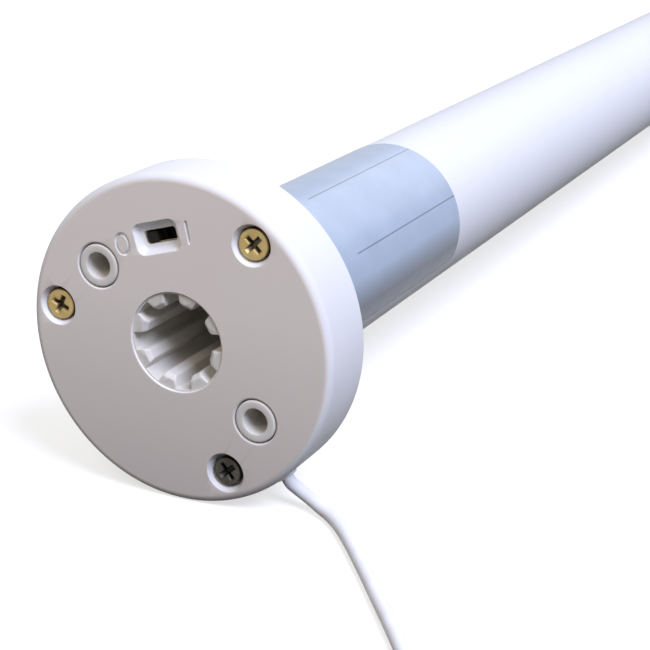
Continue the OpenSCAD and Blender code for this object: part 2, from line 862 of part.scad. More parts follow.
module motor_end_bell() {
    plug_wall = 3;
    color([0.85, 0.84, 0.78]) on_axis() {
        difference() {
            union() {
                rod(can_r, bell_x, can_x);
                rod(can_r - can_wall - fit, can_x - slip, can_x + 4);
            }
            rod(can_r - can_wall - fit - plug_wall, can_x, can_x + 4 + over);
            rod(bush_r + slip, bell_x - over, can_x + over);
            for (x = [-1, 1])
                translate([x * 7.5, 0, 0]) block(0.8, 3.2, bell_x - over, can_x + over);
        }
    }
}

module motor_can() {
    color([0.70, 0.71, 0.73]) on_axis() difference() {
        union() {
            rod(can_r, can_x, can_end);
            rod(nose_r, can_end - over, can_end + nose_l);
        }
        rod(can_r - can_wall, can_x - over, can_end - can_wall);
        rod(bush_r + slip, can_end - can_wall - over, can_end + nose_l + over);
        for (a = [0, 180])
            at(plate_screw_r, a) rod(plate_screw_d / 2 + slip, can_end - can_wall - over, can_end + over);
    }
}

module motor_magnets() {
    magnet_in_r = core_r + pole_gap;
    color([0.24, 0.24, 0.25]) on_axis() for (a = [30, 210])
        pipe_sector(can_r - can_wall - slip, magnet_in_r, core_x - 2, core_x + core_l + 2, a, a + 120);
}

module motor_bushes() {
    color([0.70, 0.55, 0.30]) on_axis() {
        pipe(bush_r, shaft_r + run_fit, bell_x, bell_x + bush_l);
        pipe(bush_r, shaft_r + run_fit, can_end - can_wall, can_end + nose_l);
    }
}

module motor_shaft() {
    color([0.80, 0.80, 0.82]) on_axis() rod(shaft_r, magnet_x, disc1_x - end_gap);
}

// Five T-shaped poles round a hub
module armature_core() {
    poles = 5;
    shoe_t = 1.3;
    pole_root_r = 2;
    pole_end_r = core_r - shoe_t / 2;
    color([0.45, 0.46, 0.48]) on_axis() difference() {
        union() {
            rod(3.2, core_x, core_x + core_l);
            for (k = [0 : poles - 1])
                rotate([0, 0, k * 360 / poles]) translate([(pole_root_r + pole_end_r) / 2, 0, 0])
                    block(pole_end_r - pole_root_r, 2, core_x, core_x + core_l);
            for (k = [0 : poles - 1])
                pipe_sector(core_r, core_r - shoe_t, core_x, core_x + core_l,
                    k * 360 / poles - 27, k * 360 / poles + 27);
        }
        rod(shaft_r + slip, core_x - over, core_x + core_l + over);
    }
}

module armature_winding() {
    color([0.72, 0.40, 0.20]) on_axis() for (z = [core_x - 2.6, core_x + core_l + slip])
        pipe(core_r - 1.5, 3.2, z, z + 2.6 - slip);
}

module commutator() {
    bars = 5;
    color([0.78, 0.50, 0.28]) on_axis() difference() {
        rod(3, core_x - 7.4, core_x - 2.8);
        rod(shaft_r + slip, core_x - 9, core_x);
        for (k = [0 : bars - 1])
            rotate([0, 0, k * 360 / bars]) translate([3, 0, 0]) block(1.2, 0.4, core_x - 9, core_x);
    }
}

module motor_rings() {
    color([0.15, 0.15, 0.15]) on_axis() for (z = [can_x + 3, can_end - 7])
        pipe(bore_r - slip, can_r + slip, z, z + 4);
}

// Gear train

plate_screw_r = 8;
plate_screw_d = 2;

module gearbox_plate() {
    color([0.66, 0.67, 0.68]) on_axis() difference() {
        rod(plug_r, plate_x + slip, ring_x);
        rod(nose_r + fit, plate_x - over, ring_x + over);
        for (a = [0, 180])
            at(plate_screw_r, a) {
                rod(plate_screw_d / 2 + fit, plate_x - over, ring_x + over);
                rod(1.9, ring_x - 0.8, ring_x + over);
            }
    }
}

module plate_screws() {
    color([0.30, 0.30, 0.31]) on_axis() for (a = [0, 180])
        at(plate_screw_r, a) translate([0, 0, ring_x - 0.8]) mirror([0, 0, 1])
            cross_screw(1.8, 0.75, plate_screw_d / 2, 3);
}

function involute(a) = tan(a) * 180 / PI - a;
function pitch_r(teeth) = gear_m * teeth / 2;
function base_r(teeth) = pitch_r(teeth) * cos(pressure);
function half_angle(teeth, r, thin) =
    90 / teeth - thin / 2 / pitch_r(teeth) * 180 / PI + involute(pressure)
    - involute(acos(min(1, base_r(teeth) / max(r, base_r(teeth)))));
function turned(list) = [for (i = [len(list) - 1 : -1 : 0]) list[i]];
function on_circle(r, a) = r * [cos(a), sin(a)];

// The outline of a gear, its first tooth centred on x. A negative thin gives the hollow of a ring gear.
function gear_outline(teeth, root, tip, thin) =
    let (radii = [root, (2 * root + tip) / 3, (root + 2 * tip) / 3, tip])
    [for (i = [0 : teeth - 1]) let (a = i * 360 / teeth)
        each concat([for (r = radii) on_circle(r, a - half_angle(teeth, r, thin))],
            [for (r = turned(radii)) on_circle(r, a + half_angle(teeth, r, thin))])];

module spur_gear(teeth, z0, z1) {
    root = pitch_r(teeth) - dedendum * gear_m;
    tip = pitch_r(teeth) + addendum * gear_m;
    translate([0, 0, z0]) linear_extrude(z1 - z0) polygon(gear_outline(teeth, root, tip, backlash));
}

module motor_pinion() {
    color([0.75, 0.66, 0.42]) on_axis() difference() {
        spur_gear(sun_teeth, stage1_x, disc1_x - end_gap);
        rod(shaft_r + slip, stage1_x - over, disc1_x + over);
    }
}

// One ring gear serves the three stages
module ring_gear() {
    hollow = gear_outline(ring_teeth, ring_tip_r, pitch_r(ring_teeth) + dedendum * gear_m, -backlash);
    color([0.60, 0.61, 0.63]) on_axis() difference() {
        rod(plug_r, ring_x + slip, ring_end);
        translate([0, 0, ring_x - over]) rotate([0, 0, 180 / ring_teeth])
            linear_extrude(ring_end - ring_x + 2 * over) polygon(hollow);
    }
}

// Planet number k of a stage, with a gap between two teeth turned to the sun
module planet(k, z0, w) {
    color([0.82, 0.80, 0.72]) on_axis() rotate([0, 0, k * 360 / planets]) translate([orbit_r, 0, 0])
        difference() {
            rotate([0, 0, 180 / planet_teeth]) spur_gear(planet_teeth, z0, z0 + w);
            rod(planet_pin_d / 2 + run_fit, z0 - over, z0 + w + over);
        }
}

module planet_1a() planet(0, stage1_x, gear_w1);
module planet_1b() planet(1, stage1_x, gear_w1);
module planet_1c() planet(2, stage1_x, gear_w1);
module planet_2a() planet(0, stage2_x, gear_w2);
module planet_2b() planet(1, stage2_x, gear_w2);
module planet_2c() planet(2, stage2_x, gear_w2);
module planet_3a() planet(0, stage3_x, gear_w3);
module planet_3b() planet(1, stage3_x, gear_w3);
module planet_3c() planet(2, stage3_x, gear_w3);

// A disc with the pins that carry a stage's planets
module carrier(z_pins, z_disc, t) {
    rod(disc_r, z_disc, z_disc + t);
    for (k = [0 : planets - 1])
        at(orbit_r, k * 360 / planets) rod(planet_pin_d / 2, z_pins, z_disc + t / 2);
}

module carrier_1() {
    color([0.70, 0.70, 0.72]) on_axis() {
        carrier(stage1_x, disc1_x, disc1_t);
        spur_gear(sun_teeth, disc1_x + disc1_t / 2, disc2_x - end_gap);
    }
}

module carrier_2() {
    color([0.70, 0.70, 0.72]) on_axis() {
        carrier(stage2_x, disc2_x, disc2_t);
        spur_gear(sun_teeth, disc2_x + disc2_t / 2, disc3_x - end_gap);
    }
}

module carrier_3() {
    color([0.70, 0.70, 0.72]) on_axis() difference() {
        carrier(stage3_x, disc3_x, disc3_t);
        hex_bar(tongue_af + 2 * slip, disc3_x + disc3_t - tongue_l, disc3_x + disc3_t + over);
    }
}

// Drive end

module output_shaft() {
    color([0.78, 0.79, 0.81]) on_axis() difference() {
        union() {
            hex_bar(tongue_af, disc3_x + disc3_t - tongue_l + slip, ring_end);
            rod(output_r, disc3_x + disc3_t + slip, wheel_x - 0.2);
            hex_bar(hex_af, wheel_x - over, wheel_end - 0.2);
        }
        rod(wheel_screw_r + slip, wheel_end - wheel_screw_l - 1, wheel_end + over);
    }
}

module output_bush() {
    color([0.70, 0.55, 0.30]) on_axis() pipe(output_bush_r, output_r + run_fit, ring_end + 2, cap_end - 0.5);
}

module tube_end_cap() {
    color([0.90, 0.90, 0.90]) on_axis() difference() {
        union() {
            rod(plug_r, ring_end + slip, tube_end + over);
            rod(tube_r, tube_end, cap_end - cap_break);
            translate([0, 0, cap_end - cap_break])
                cylinder(r1 = tube_r, r2 = tube_r - cap_break, h = cap_break);
        }
        rod(output_r + 0.6, ring_end - over, cap_end + over);
        rod(output_bush_r + slip, ring_end + 2, cap_end + over);
        for (a = fixing_angles)
            spoke(a, fixing_x[1]) rod(fixing_r + slip, tube_r - fixing_l - over, tube_r);
    }
}

module drive_wheel() {
    web_x = wheel_x + wheel_w / 2 - web_t / 2;
    color([0.88, 0.88, 0.87]) on_axis() difference() {
        union() {
            pipe(wheel_r, wheel_r - wheel_t, wheel_x, wheel_end);
            rod(hub_r, wheel_x, wheel_end);
            rod(wheel_r - wheel_t / 2, web_x, web_x + web_t);
            for (k = [0 : wheel_spokes - 1])
                rotate([0, 0, k * 360 / wheel_spokes]) translate([(hub_r + wheel_r - wheel_t) / 2, 0, 0])
                    block(wheel_r - wheel_t - hub_r + 1, 1.6, wheel_x + 1, wheel_end - 1);
        }
        hex_bar(hex_af + 2 * run_fit, wheel_x - over, wheel_end + over);
        for (k = [0 : 3])
            at(wheel_r, 45 + 90 * k) block(2 * key_t, key_w, wheel_x - over, wheel_end + over);
    }
}

module wheel_washer() {
    color([0.70, 0.70, 0.72]) on_axis()
        pipe(washer_r, wheel_screw_r + fit, wheel_end + slip, wheel_end + washer_t);
}

module wheel_screw() {
    color([0.55, 0.55, 0.57]) on_axis() translate([0, 0, wheel_end + washer_t + slip]) mirror([0, 0, 1])
        cross_screw(wheel_screw_head_r, wheel_screw_head_l, wheel_screw_r, wheel_screw_l);
}

head_cover();
head_base();
brass_cover_screws();
dark_cover_screw();
switch_body();
switch_lever();
head_board();
lead_grommet();
lead_inner_end();
lead_run();
lead_coil();
lead_connector();
connector_shell();
motor_tube();
label_film();
tube_screws();
board_tray();
control_board();
board_components();
antenna_wire();
battery_tray();
battery_cell_front();
battery_cell_rear();
battery_straps();
motor_wires();
encoder_board();
encoder_magnet();
motor_end_bell();
motor_can();
motor_magnets();
motor_bushes();
motor_shaft();
armature_core();
armature_winding();
commutator();
motor_rings();
gearbox_plate();
plate_screws();
motor_pinion();
ring_gear();
planet_1a();
planet_1b();
planet_1c();
carrier_1();
planet_2a();
planet_2b();
planet_2c();
carrier_2();
planet_3a();
planet_3b();
planet_3c();
carrier_3();
output_shaft();
output_bush();
tube_end_cap();
drive_wheel();
wheel_washer();
wheel_screw();
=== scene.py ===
import json
from math import asin, atan2, cos, pi, radians, sin, tau

import bmesh
import bpy
from mathutils import Matrix, Vector
from mathutils.geometry import delaunay_2d_cdt


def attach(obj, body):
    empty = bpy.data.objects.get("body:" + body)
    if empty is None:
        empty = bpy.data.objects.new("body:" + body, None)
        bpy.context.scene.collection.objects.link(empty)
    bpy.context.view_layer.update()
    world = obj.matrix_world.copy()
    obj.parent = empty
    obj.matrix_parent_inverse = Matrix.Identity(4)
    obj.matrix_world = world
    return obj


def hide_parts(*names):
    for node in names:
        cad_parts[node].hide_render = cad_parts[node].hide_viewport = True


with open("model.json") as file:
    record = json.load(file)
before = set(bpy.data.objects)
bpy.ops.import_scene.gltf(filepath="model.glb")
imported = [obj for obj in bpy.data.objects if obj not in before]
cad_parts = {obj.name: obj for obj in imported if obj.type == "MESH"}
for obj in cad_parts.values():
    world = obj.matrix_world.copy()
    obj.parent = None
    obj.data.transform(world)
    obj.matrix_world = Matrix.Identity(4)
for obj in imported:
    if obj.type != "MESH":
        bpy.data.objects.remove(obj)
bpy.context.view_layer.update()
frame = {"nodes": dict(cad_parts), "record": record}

MM = 0.001

# Sizes in millimetres. The head's face lies at depth 0, u runs along +Y, v along +Z and depth along
# +X. Angles are in degrees and run from u to v. A name that ends in _X is a depth.
HEAD_R, HEAD_L, HEAD_ROUND = 22.25, 9.7, 1.14
RIM_IN_R, PLATE_X, BOSS_X = 20.65, 2.0, 3.0
BASE_GAP = 0.1
TUBE_R, TUBE_BORE_R, TUBE_END_X = 12.5, 11.7, 359.8
PIN_R, PIN_ANGLES = 14.45, (38, 218)
SCREW_R, BRASS_ANGLES, DARK_ANGLE = 18.25, (8, 128), 248
POCKET_R, POCKET_L = 2.68, 1.8
SCREW_HEAD_R, SCREW_HEAD_L, DARK_HEAD_R = 2.08, 1.3, 1.95
SCREW_TOP_X = POCKET_L - SCREW_HEAD_L
SWITCH_R, SWITCH_ANGLE, SWITCH_TURN = 14, 80.3, -5.7
RECESS_L, RECESS_W, RECESS_T, RECESS_CORNER = 6.6, 4.1, 1.1, 1.1
SLOT_L, SLOT_W, SLOT_CORNER, SLOT_DRAFT = 4.75, 1.85, 0.4, 0.15
LABEL_X, LABEL_END_X, LABEL_ANGLES = 10.3, 68.3, (5, 205.5)
LEAD_R, LEAD_ANGLE, EXIT_X, EXIT_R = 0.9, 234, 5.2, 22.6
FLOOR_Z = -HEAD_R
LIE_Z = FLOOR_Z + LEAD_R


def polar(r, degrees):
    return Vector((r * cos(radians(degrees)), r * sin(radians(degrees))))


# Camera

SENSOR = 36
LENS = 86.46
CAMERA_AT = (-0.16197, -0.09963, 0.06739)
CAMERA_RIGHT = (0.4353, -0.9003, 0)
CAMERA_UP = (0.2922, 0.1413, 0.9459)
CAMERA_BACK = (-0.8516, -0.4117, 0.3246)


def make_camera():
    data = bpy.data.cameras.new("camera")
    data.sensor_width = SENSOR
    data.lens = LENS
    data.clip_start = 0.01
    camera = bpy.data.objects.new("camera", data)
    turn = Matrix((CAMERA_RIGHT, CAMERA_UP, CAMERA_BACK)).transposed()
    camera.matrix_world = Matrix.Translation(CAMERA_AT) @ turn.to_4x4()
    bpy.context.collection.objects.link(camera)
    bpy.context.scene.camera = camera


make_camera()


# Materials. Object coordinates are metres in the part's frame, so a noise of scale 1000 has
# features of a millimetre.

class Nodes:
    """Adds nodes to a tree. A value is a number, a colour, a vector or another node's output."""

    def __init__(self, tree):
        self.tree = tree

    def node(self, kind, inputs=(), **settings):
        made = self.tree.nodes.new("ShaderNode" + kind)
        for key, value in settings.items():
            setattr(made, key, value)
        for key, value in dict(inputs).items():
            self.feed(made.inputs[key], value)
        return made

    def feed(self, socket, value):
        if isinstance(value, bpy.types.NodeSocket):
            self.tree.links.new(value, socket)
        elif isinstance(value, tuple) and len(value) == 3 and socket.type == "RGBA":
            socket.default_value = (*value, 1)
        else:
            socket.default_value = value

    def math(self, operation, *values):
        return self.node("Math", enumerate(values), operation=operation).outputs[0]

    def span(self, value, low, high, to_low=0.0, to_high=1.0, smooth=False):
        kind = "SMOOTHSTEP" if smooth else "LINEAR"
        return self.node("MapRange", {"Value": value, "From Min": low, "From Max": high,
                                      "To Min": to_low, "To Max": to_high},
                         interpolation_type=kind).outputs[0]

    def mix(self, factor, a, b):
        made = self.node("Mix", {0: factor}, data_type="RGBA")
        self.feed(made.inputs[6], a)
        self.feed(made.inputs[7], b)
        return made.outputs[2]


class Paint(Nodes):
    """A Principled material in object coordinates."""

    def __init__(self, name, **sockets):
        self.name = name
        self.material = bpy.data.materials.new(name)
        self.material.use_nodes = True
        super().__init__(self.material.node_tree)
        self.shader = self.tree.nodes["Principled BSDF"]
        self.place = self.node("TexCoord").outputs["Object"]
        for key, value in sockets.items():
            self.shader.inputs[key.replace("_", " ")].default_value = value

    def set(self, name, value):
        self.feed(self.shader.inputs[name], value)

    def noise(self, scale, detail=3, rough=0.55, place=None):
        return self.node("TexNoise", {"Vector": place or self.place, "Scale": scale,
                                      "Detail": detail, "Roughness": rough}).outputs["Fac"]

    def axis(self, index):
        return self.node("SeparateXYZ", {0: self.place}).outputs[index]

    def bump(self, height, strength, distance, under=None):
        inputs = {"Height": height, "Strength": strength, "Distance": distance * MM}
        if under:
            inputs["Normal"] = under
        return self.node("Bump", inputs).outputs[0]

    def stretched(self, x, y, z):
        return self.node("Mapping", {"Vector": self.place, "Scale": (x, y, z)}).outputs[0]

    def distance(self, point):
        return self.node("VectorMath", {0: self.place, 1: point}, operation="DISTANCE").outputs["Value"]


def moulded(name, dark, light, rough=(0.35, 0.5), grain=2600, **sockets):
    """Moulded plastic: a faint cloudiness, an eroded grain and a gloss that wanders a little."""
    p = Paint(name, **sockets)
    p.set("Base Color", p.mix(p.span(p.noise(90, 5), 0.36, 0.64), dark, light))
    p.set("Roughness", p.span(p.noise(270), 0.35, 0.65, *rough))
    p.set("Normal", p.bump(p.noise(grain, 2), 0.35, 0.012))
    return p


def metal(name, dark, light, rough=(0.22, 0.4)):
    """Bare metal: fine drawn scratches across the height and duller patches."""
    p = Paint(name, Metallic=1.0)
    lines = p.noise(3200, 4, 0.7, p.stretched(1, 1, 12))
    p.set("Base Color", p.mix(p.span(p.noise(500, 4), 0.35, 0.68), dark, light))
    p.set("Roughness", p.span(lines, 0.3, 0.7, *rough))
    p.set("Normal", p.bump(lines, 0.2, 0.01))
    return p


# Depths under a screw head's top between which painted shade darkens its plating
PIT_SHADE = (0.15, 0.55)


def screw_plating(name, dark, light, painted_pit_shade):
    """Satin plating on a screw's flat head, with painted shade down in its cross and at its edge."""
    p = Paint(name, Metallic=0.75)
    tone = p.mix(p.span(p.noise(420, 4), 0.35, 0.68), dark, light)
    # Painted shade: the plating darkens to the pit's shade colour down in the cross and down the head's
    # side.
    down = p.span(p.axis(0), *((SCREW_TOP_X + depth) * MM for depth in PIT_SHADE), smooth=True)
    p.set("Base Color", p.mix(down, tone, painted_pit_shade))
    p.set("Roughness", p.span(p.noise(1800, 4, 0.7), 0.3, 0.7, 0.4, 0.56))
    p.set("Normal", p.bump(p.noise(1500, 3), 0.15, 0.01))
    return p


# Depths between which the face's finish, and its painted shade that makes it warmer and darker than
# the rim, give way to the rim's; heights between which painted shade darkens the face, and more
# steeply the whole cover, downwards
FACE_FINISH_AND_SHADE = (0.02 * MM, 0.16 * MM)
FACE_SHADE = (-22 * MM, 6 * MM)
COVER_SHADE = (-22 * MM, -6 * MM)
# The slot's walls: their middle's depth, how far from it they reach, and how soon their tone is full
SLOT_MIDDLE_X, SLOT_REACH, SLOT_FADE = 1.5, 2.9, 0.25


def head_plastic():
    """The cover's off-white plastic: spark-eroded and faintly cloudy on the face, smoother elsewhere,
    with painted shade that warms and darkens the face and darkens the cover downwards.
    """
    p = Paint("head_plastic", Specular_IOR_Level=0.02)
    depth, height = p.axis(0), p.axis(2)
    on_face = p.span(depth, *FACE_FINISH_AND_SHADE, 1, 0, smooth=True)
    cloud = p.span(p.noise(45, 5), 0.34, 0.66)
    # Painted shade: the face's tone is warmer and darker than the rim's, though they are one moulding.
    shaded_face_tone = p.mix(cloud, (0.81, 0.75, 0.685), (0.845, 0.785, 0.72))
    rim_tone = p.mix(cloud, (0.81, 0.81, 0.81), (0.84, 0.84, 0.84))
    # Painted shade: the face, and more steeply the whole cover, darkens downwards towards a dull warm
    # grey.
    low = p.math("ADD", p.span(height, *FACE_SHADE, 0.38, 0), p.span(cloud, 0, 1, -0.03, 0.03))
    under = p.span(height, *COVER_SHADE, 0.32, 0)
    low = p.math("MAXIMUM", p.math("MULTIPLY", low, on_face), under)
    toned = p.mix(low, p.mix(on_face, rim_tone, shaded_face_tone), (0.32, 0.30, 0.27))
    middle = (SLOT_MIDDLE_X * MM, *(polar(SWITCH_R, SWITCH_ANGLE) * MM))
    near = p.math("LESS_THAN", p.distance(middle), SLOT_REACH * MM)
    deep = p.span(depth, RECESS_T * MM, (RECESS_T + SLOT_FADE) * MM)
    p.set("Base Color", p.mix(p.math("MULTIPLY", deep, near), toned, (0.40, 0.36, 0.25)))
    worn = p.span(p.noise(240, 4), 0.35, 0.65, -0.05, 0.05)
    p.set("Roughness", p.math("ADD", worn, p.span(on_face, 0, 1, 0.42, 0.56)))
    grain = p.math("MULTIPLY", p.noise(5200, 2), p.span(on_face, 0, 1, 0.15, 1))
    p.set("Normal", p.bump(grain, 0.35, 0.012))
    return p


def tube_paint():
    """White powder coat, satin, with the faint ripple of a drawn tube under it."""
    p = Paint("tube_white", Specular_IOR_Level=0.015)
    p.set("Base Color", p.mix(p.noise(40, 4), (0.825, 0.83, 0.84), (0.85, 0.855, 0.865)))
    p.set("Roughness", p.span(p.noise(300, 4), 0.35, 0.65, 0.38, 0.46))
    ripple = p.noise(160, 2, 0.5, p.stretched(0.08, 1, 1))
    peel = p.bump(p.noise(700, 2), 0.05, 0.01)
    p.set("Normal", p.bump(ripple, 0.05, 0.02, peel))
    return p


# Each printed rule's angle and the depth that it starts at, and the rules' half width
LABEL_RULES, RULE_HALF_W = ((105.7, 31.5), (155.5, 31)), 0.1
# Heights between which painted shade darkens the film downwards
LABEL_SHADE = (-2.6 * MM, 1.8 * MM)


def label_paint():
    """Silvery film with two printed rules along the motor, painted shade on its lower side, and no
    lettering.
    """
    p = Paint("label_film", Specular_IOR_Level=0.24)
    x, y, z = (p.axis(k) for k in range(3))
    angle = p.math("ARCTAN2", z, y)
    ruled = None
    for degrees, start in LABEL_RULES:
        off = p.math("ABSOLUTE", p.math("SUBTRACT", angle, radians(degrees)))
        here = p.math("LESS_THAN", off, RULE_HALF_W / TUBE_R)
        here = p.math("MULTIPLY", here, p.math("GREATER_THAN", x, start * MM))
        ruled = here if ruled is None else p.math("MAXIMUM", ruled, here)
    film = p.mix(p.span(p.noise(160, 4), 0.35, 0.65), (0.37, 0.445, 0.545), (0.40, 0.48, 0.585))
    # Painted shade: the film darkens towards its lower side.
    film = p.mix(p.span(z, *LABEL_SHADE, 0.85, 0), film, (0.07, 0.085, 0.10))
    p.set("Base Color", p.mix(p.math("MULTIPLY", ruled, 0.75), film, (0.10, 0.13, 0.17)))
    p.set("Roughness", p.span(p.noise(700, 4), 0.3, 0.7, 0.3, 0.36))
    p.set("Normal", p.bump(p.noise(1200, 2), 0.06, 0.01))
    return p


def lead_jacket():
    """The lead's soft white jacket, slightly waxy, with dust in places."""
    p = Paint("lead_white", Subsurface_Weight=0.4, Subsurface_Scale=0.8 * MM, Specular_IOR_Level=0.1)
    p.shader.inputs["Subsurface Radius"].default_value = (1.0, 0.8, 0.7)
    p.set("Base Color", p.mix(p.span(p.noise(220, 5), 0.4, 0.7), (0.89, 0.90, 0.92), (0.83, 0.83, 0.84)))
    p.set("Roughness", p.span(p.noise(600, 3), 0.35, 0.65, 0.38, 0.5))
    p.set("Normal", p.bump(p.noise(1800, 3), 0.25, 0.02))
    return p


def lines_across(p, pitch):
    """A wave along the motor's axis, between -1 and 1."""
    return p.math("SINE", p.math("MULTIPLY", p.axis(0), tau / (pitch * MM)))


def wound(name, dark, light, pitch):
    """Fine wire wound round the motor's axis."""
    p = Paint(name, Metallic=0.85, Roughness=0.35)
    p.set("Base Color", p.mix(p.noise(900, 3), dark, light))
    p.set("Normal", p.bump(lines_across(p, pitch), 0.6, 0.08))
    return p


def rolled(name, dark, light, pitch):
    """Stacked sheets, seen as fine lines across the motor's axis."""
    p = Paint(name, Metallic=1.0)
    seams = lines_across(p, pitch)
    p.set("Base Color", p.mix(p.noise(600, 4), dark, light))
    p.set("Roughness", p.span(seams, -1, 1, 0.35, 0.6))
    p.set("Normal", p.bump(seams, 0.4, 0.05))
    return p


def board_mask():
    """Green solder mask with faint lighter tracks under it."""
    p = Paint("board_green", Coat_Weight=0.4, Roughness=0.35)
    tracks = p.node("TexBrick", {"Vector": p.place, "Scale": 180.0, "Mortar Size": 0.03,
                                 "Color1": (0.015, 0.11, 0.055), "Color2": (0.02, 0.13, 0.065),
                                 "Mortar": (0.03, 0.19, 0.09)})
    p.set("Base Color", p.mix(p.noise(400, 4), tracks.outputs["Color"], (0.012, 0.09, 0.045)))
    p.set("Normal", p.bump(tracks.outputs["Fac"], 0.3, 0.03))
    return p


PAINTS = {paint.name: paint for paint in (
    head_plastic(),
    moulded("base_plastic", (0.69, 0.665, 0.61), (0.73, 0.705, 0.65), Specular_IOR_Level=0.2),
    screw_plating("brass_screw", (0.38, 0.275, 0.105), (0.48, 0.355, 0.15), (0.09, 0.07, 0.04)),
    screw_plating("dark_screw", (0.032, 0.028, 0.021), (0.07, 0.063, 0.048), (0.008, 0.007, 0.006)),
    moulded("black_plastic", (0.007, 0.006, 0.004), (0.014, 0.012, 0.009), (0.5, 0.65),
            Specular_IOR_Level=0.15),
    board_mask(),
    lead_jacket(),
    moulded("white_plastic", (0.74, 0.74, 0.735), (0.80, 0.80, 0.795)),
    tube_paint(),
    label_paint(),
    metal("steel", (0.42, 0.43, 0.45), (0.66, 0.67, 0.69)),
    moulded("tray_plastic", (0.05, 0.05, 0.052), (0.08, 0.08, 0.083)),
    moulded("chips", (0.018, 0.018, 0.02), (0.04, 0.04, 0.045), grain=6000),
    wound("copper", (0.42, 0.14, 0.05), (0.68, 0.28, 0.12), 0.3),
    moulded("cell_sleeve", (0.03, 0.12, 0.32), (0.05, 0.17, 0.40), (0.2, 0.32)),
    metal("nickel", (0.55, 0.54, 0.50), (0.74, 0.73, 0.69)),
    moulded("wire_red", (0.42, 0.02, 0.015), (0.56, 0.04, 0.03)),
    moulded("magnet", (0.045, 0.045, 0.05), (0.09, 0.09, 0.095), (0.55, 0.75)),
    moulded("bell_plastic", (0.60, 0.58, 0.52), (0.68, 0.66, 0.60)),
    metal("sintered", (0.30, 0.22, 0.13), (0.50, 0.38, 0.24), (0.45, 0.65)),
    rolled("lamination", (0.25, 0.25, 0.27), (0.40, 0.40, 0.42), 0.5),
    moulded("rubber_ring", (0.02, 0.02, 0.02), (0.04, 0.04, 0.04), (0.6, 0.8)),
    moulded("gear_plastic", (0.66, 0.64, 0.57), (0.76, 0.74, 0.67)),
    metal("gear_metal", (0.35, 0.33, 0.30), (0.55, 0.53, 0.49), (0.35, 0.55)),
)}


# Pieces

# From millimetres along X, Y and Z, and from millimetres along u, v and depth, to the frame
ALONG_XYZ = Matrix.Scale(MM, 4)
HEAD = Matrix(((0, 0, MM, 0), (MM, 0, 0, 0), (0, MM, 0, 0), (0, 0, 0, 1)))


def spot(r, degrees, depth=0.0, turn=0.0):
    """A place on the face, with local u pointing away from the motor's axis and then turned."""
    u, v = polar(r, degrees)
    return HEAD @ Matrix.Translation((u, v, depth)) @ Matrix.Rotation(radians(degrees + turn), 4, "Z")


# How much a flat face counts among its neighbours' normals, and the least angle of a sharp edge
FLAT_STRENGTH = 16384
SHARP_ANGLE = 38


class Shell:
    """Closed skins that grow ring by ring. Rings are points (u, v, w) in millimetres."""

    def __init__(self):
        self.mesh = bmesh.new()
        self.strength = self.mesh.faces.layers.int.new("__mod_weightednormals_faceweight")

    def row(self, outline, w):
        return [self.mesh.verts.new((u, v, w)) for u, v in outline]

    def bridge(self, a, b):
        for i in range(len(a)):
            j = (i + 1) % len(a)
            self.mesh.faces.new((a[i], a[j], b[j], b[i]))

    def chain(self, rows):
        for a, b in zip(rows, rows[1:]):
            self.bridge(a, b)

    def loft(self, outline, steps, first=None):
        """Joins outline(offset) at each (offset, w) in steps, after the row first if there is one."""
        rows = [self.row(outline(offset), w) for offset, w in steps]
        if first:
            rows.insert(0, first)
        self.chain(rows)
        return rows[0], rows[-1]

    def fill(self, *rows):
        """Triangles over the flat region that lies inside an odd number of the rows."""
        verts = [v for row in rows for v in row]
        points = [v.co.xy for v in verts]
        loops, edges = [], []
        for row in rows:
            first = len(edges)
            n = len(row)
            edges += [(first + i, first + (i + 1) % n) for i in range(n)]
            loops.append([v.co.xy for v in row])
        found, _, faces, source, _, _ = delaunay_2d_cdt(points, edges, [], 0, 1e-9)
        for face in faces:
            middle = sum((found[i] for i in face), Vector((0, 0))) / len(face)
            if sum(inside(middle, loop) for loop in loops) % 2:
                flat = self.mesh.faces.new([verts[source[i][0]] for i in face])
                flat[self.strength] = FLAT_STRENGTH

    def lathe(self, profile, segments):
        """A ring of section profile, points (r, w), turned about the local w axis."""
        rows = [self.row(circle(r, segments), w) for r, w in profile]
        self.chain(rows + rows[:1])

    def plug(self, outline, steps):
        """A solid with flat ends."""
        first, last = self.loft(outline, steps)
        self.fill(first)
        self.fill(last)

    def build(self, name, paint, body, replaces, place=HEAD):
        bmesh.ops.recalc_face_normals(self.mesh, faces=self.mesh.faces)
        self.mesh.transform(place)
        data = bpy.data.meshes.new(name)
        self.mesh.to_mesh(data)
        self.mesh.free()
        data.shade_smooth()
        data.set_sharp_from_angle(angle=radians(SHARP_ANGLE))
        made = bpy.data.objects.new(name, data)
        bpy.context.collection.objects.link(made)
        normals = made.modifiers.new("normals", "WEIGHTED_NORMAL")
        normals.keep_sharp = True
        normals.use_face_influence = True
        return finish_piece(made, paint, body, replaces)


def finish_piece(made, paint, body, replaces):
    made.data.materials.append(PAINTS[paint].material)
    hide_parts(*replaces)
    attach(made, body)
    return made


def inside(point, loop):
    """Whether a point lies inside a loop, by counting the edges that a ray along +u crosses."""
    odd = False
    for a, b in zip(loop, loop[1:] + loop[:1]):
        if (a.y > point.y) != (b.y > point.y):
            odd ^= point.x < a.x + (point.y - a.y) * (b.x - a.x) / (b.y - a.y)
    return odd


def circle(r, segments):
    return [tuple(polar(r, 360 * i / segments)) for i in range(segments)]


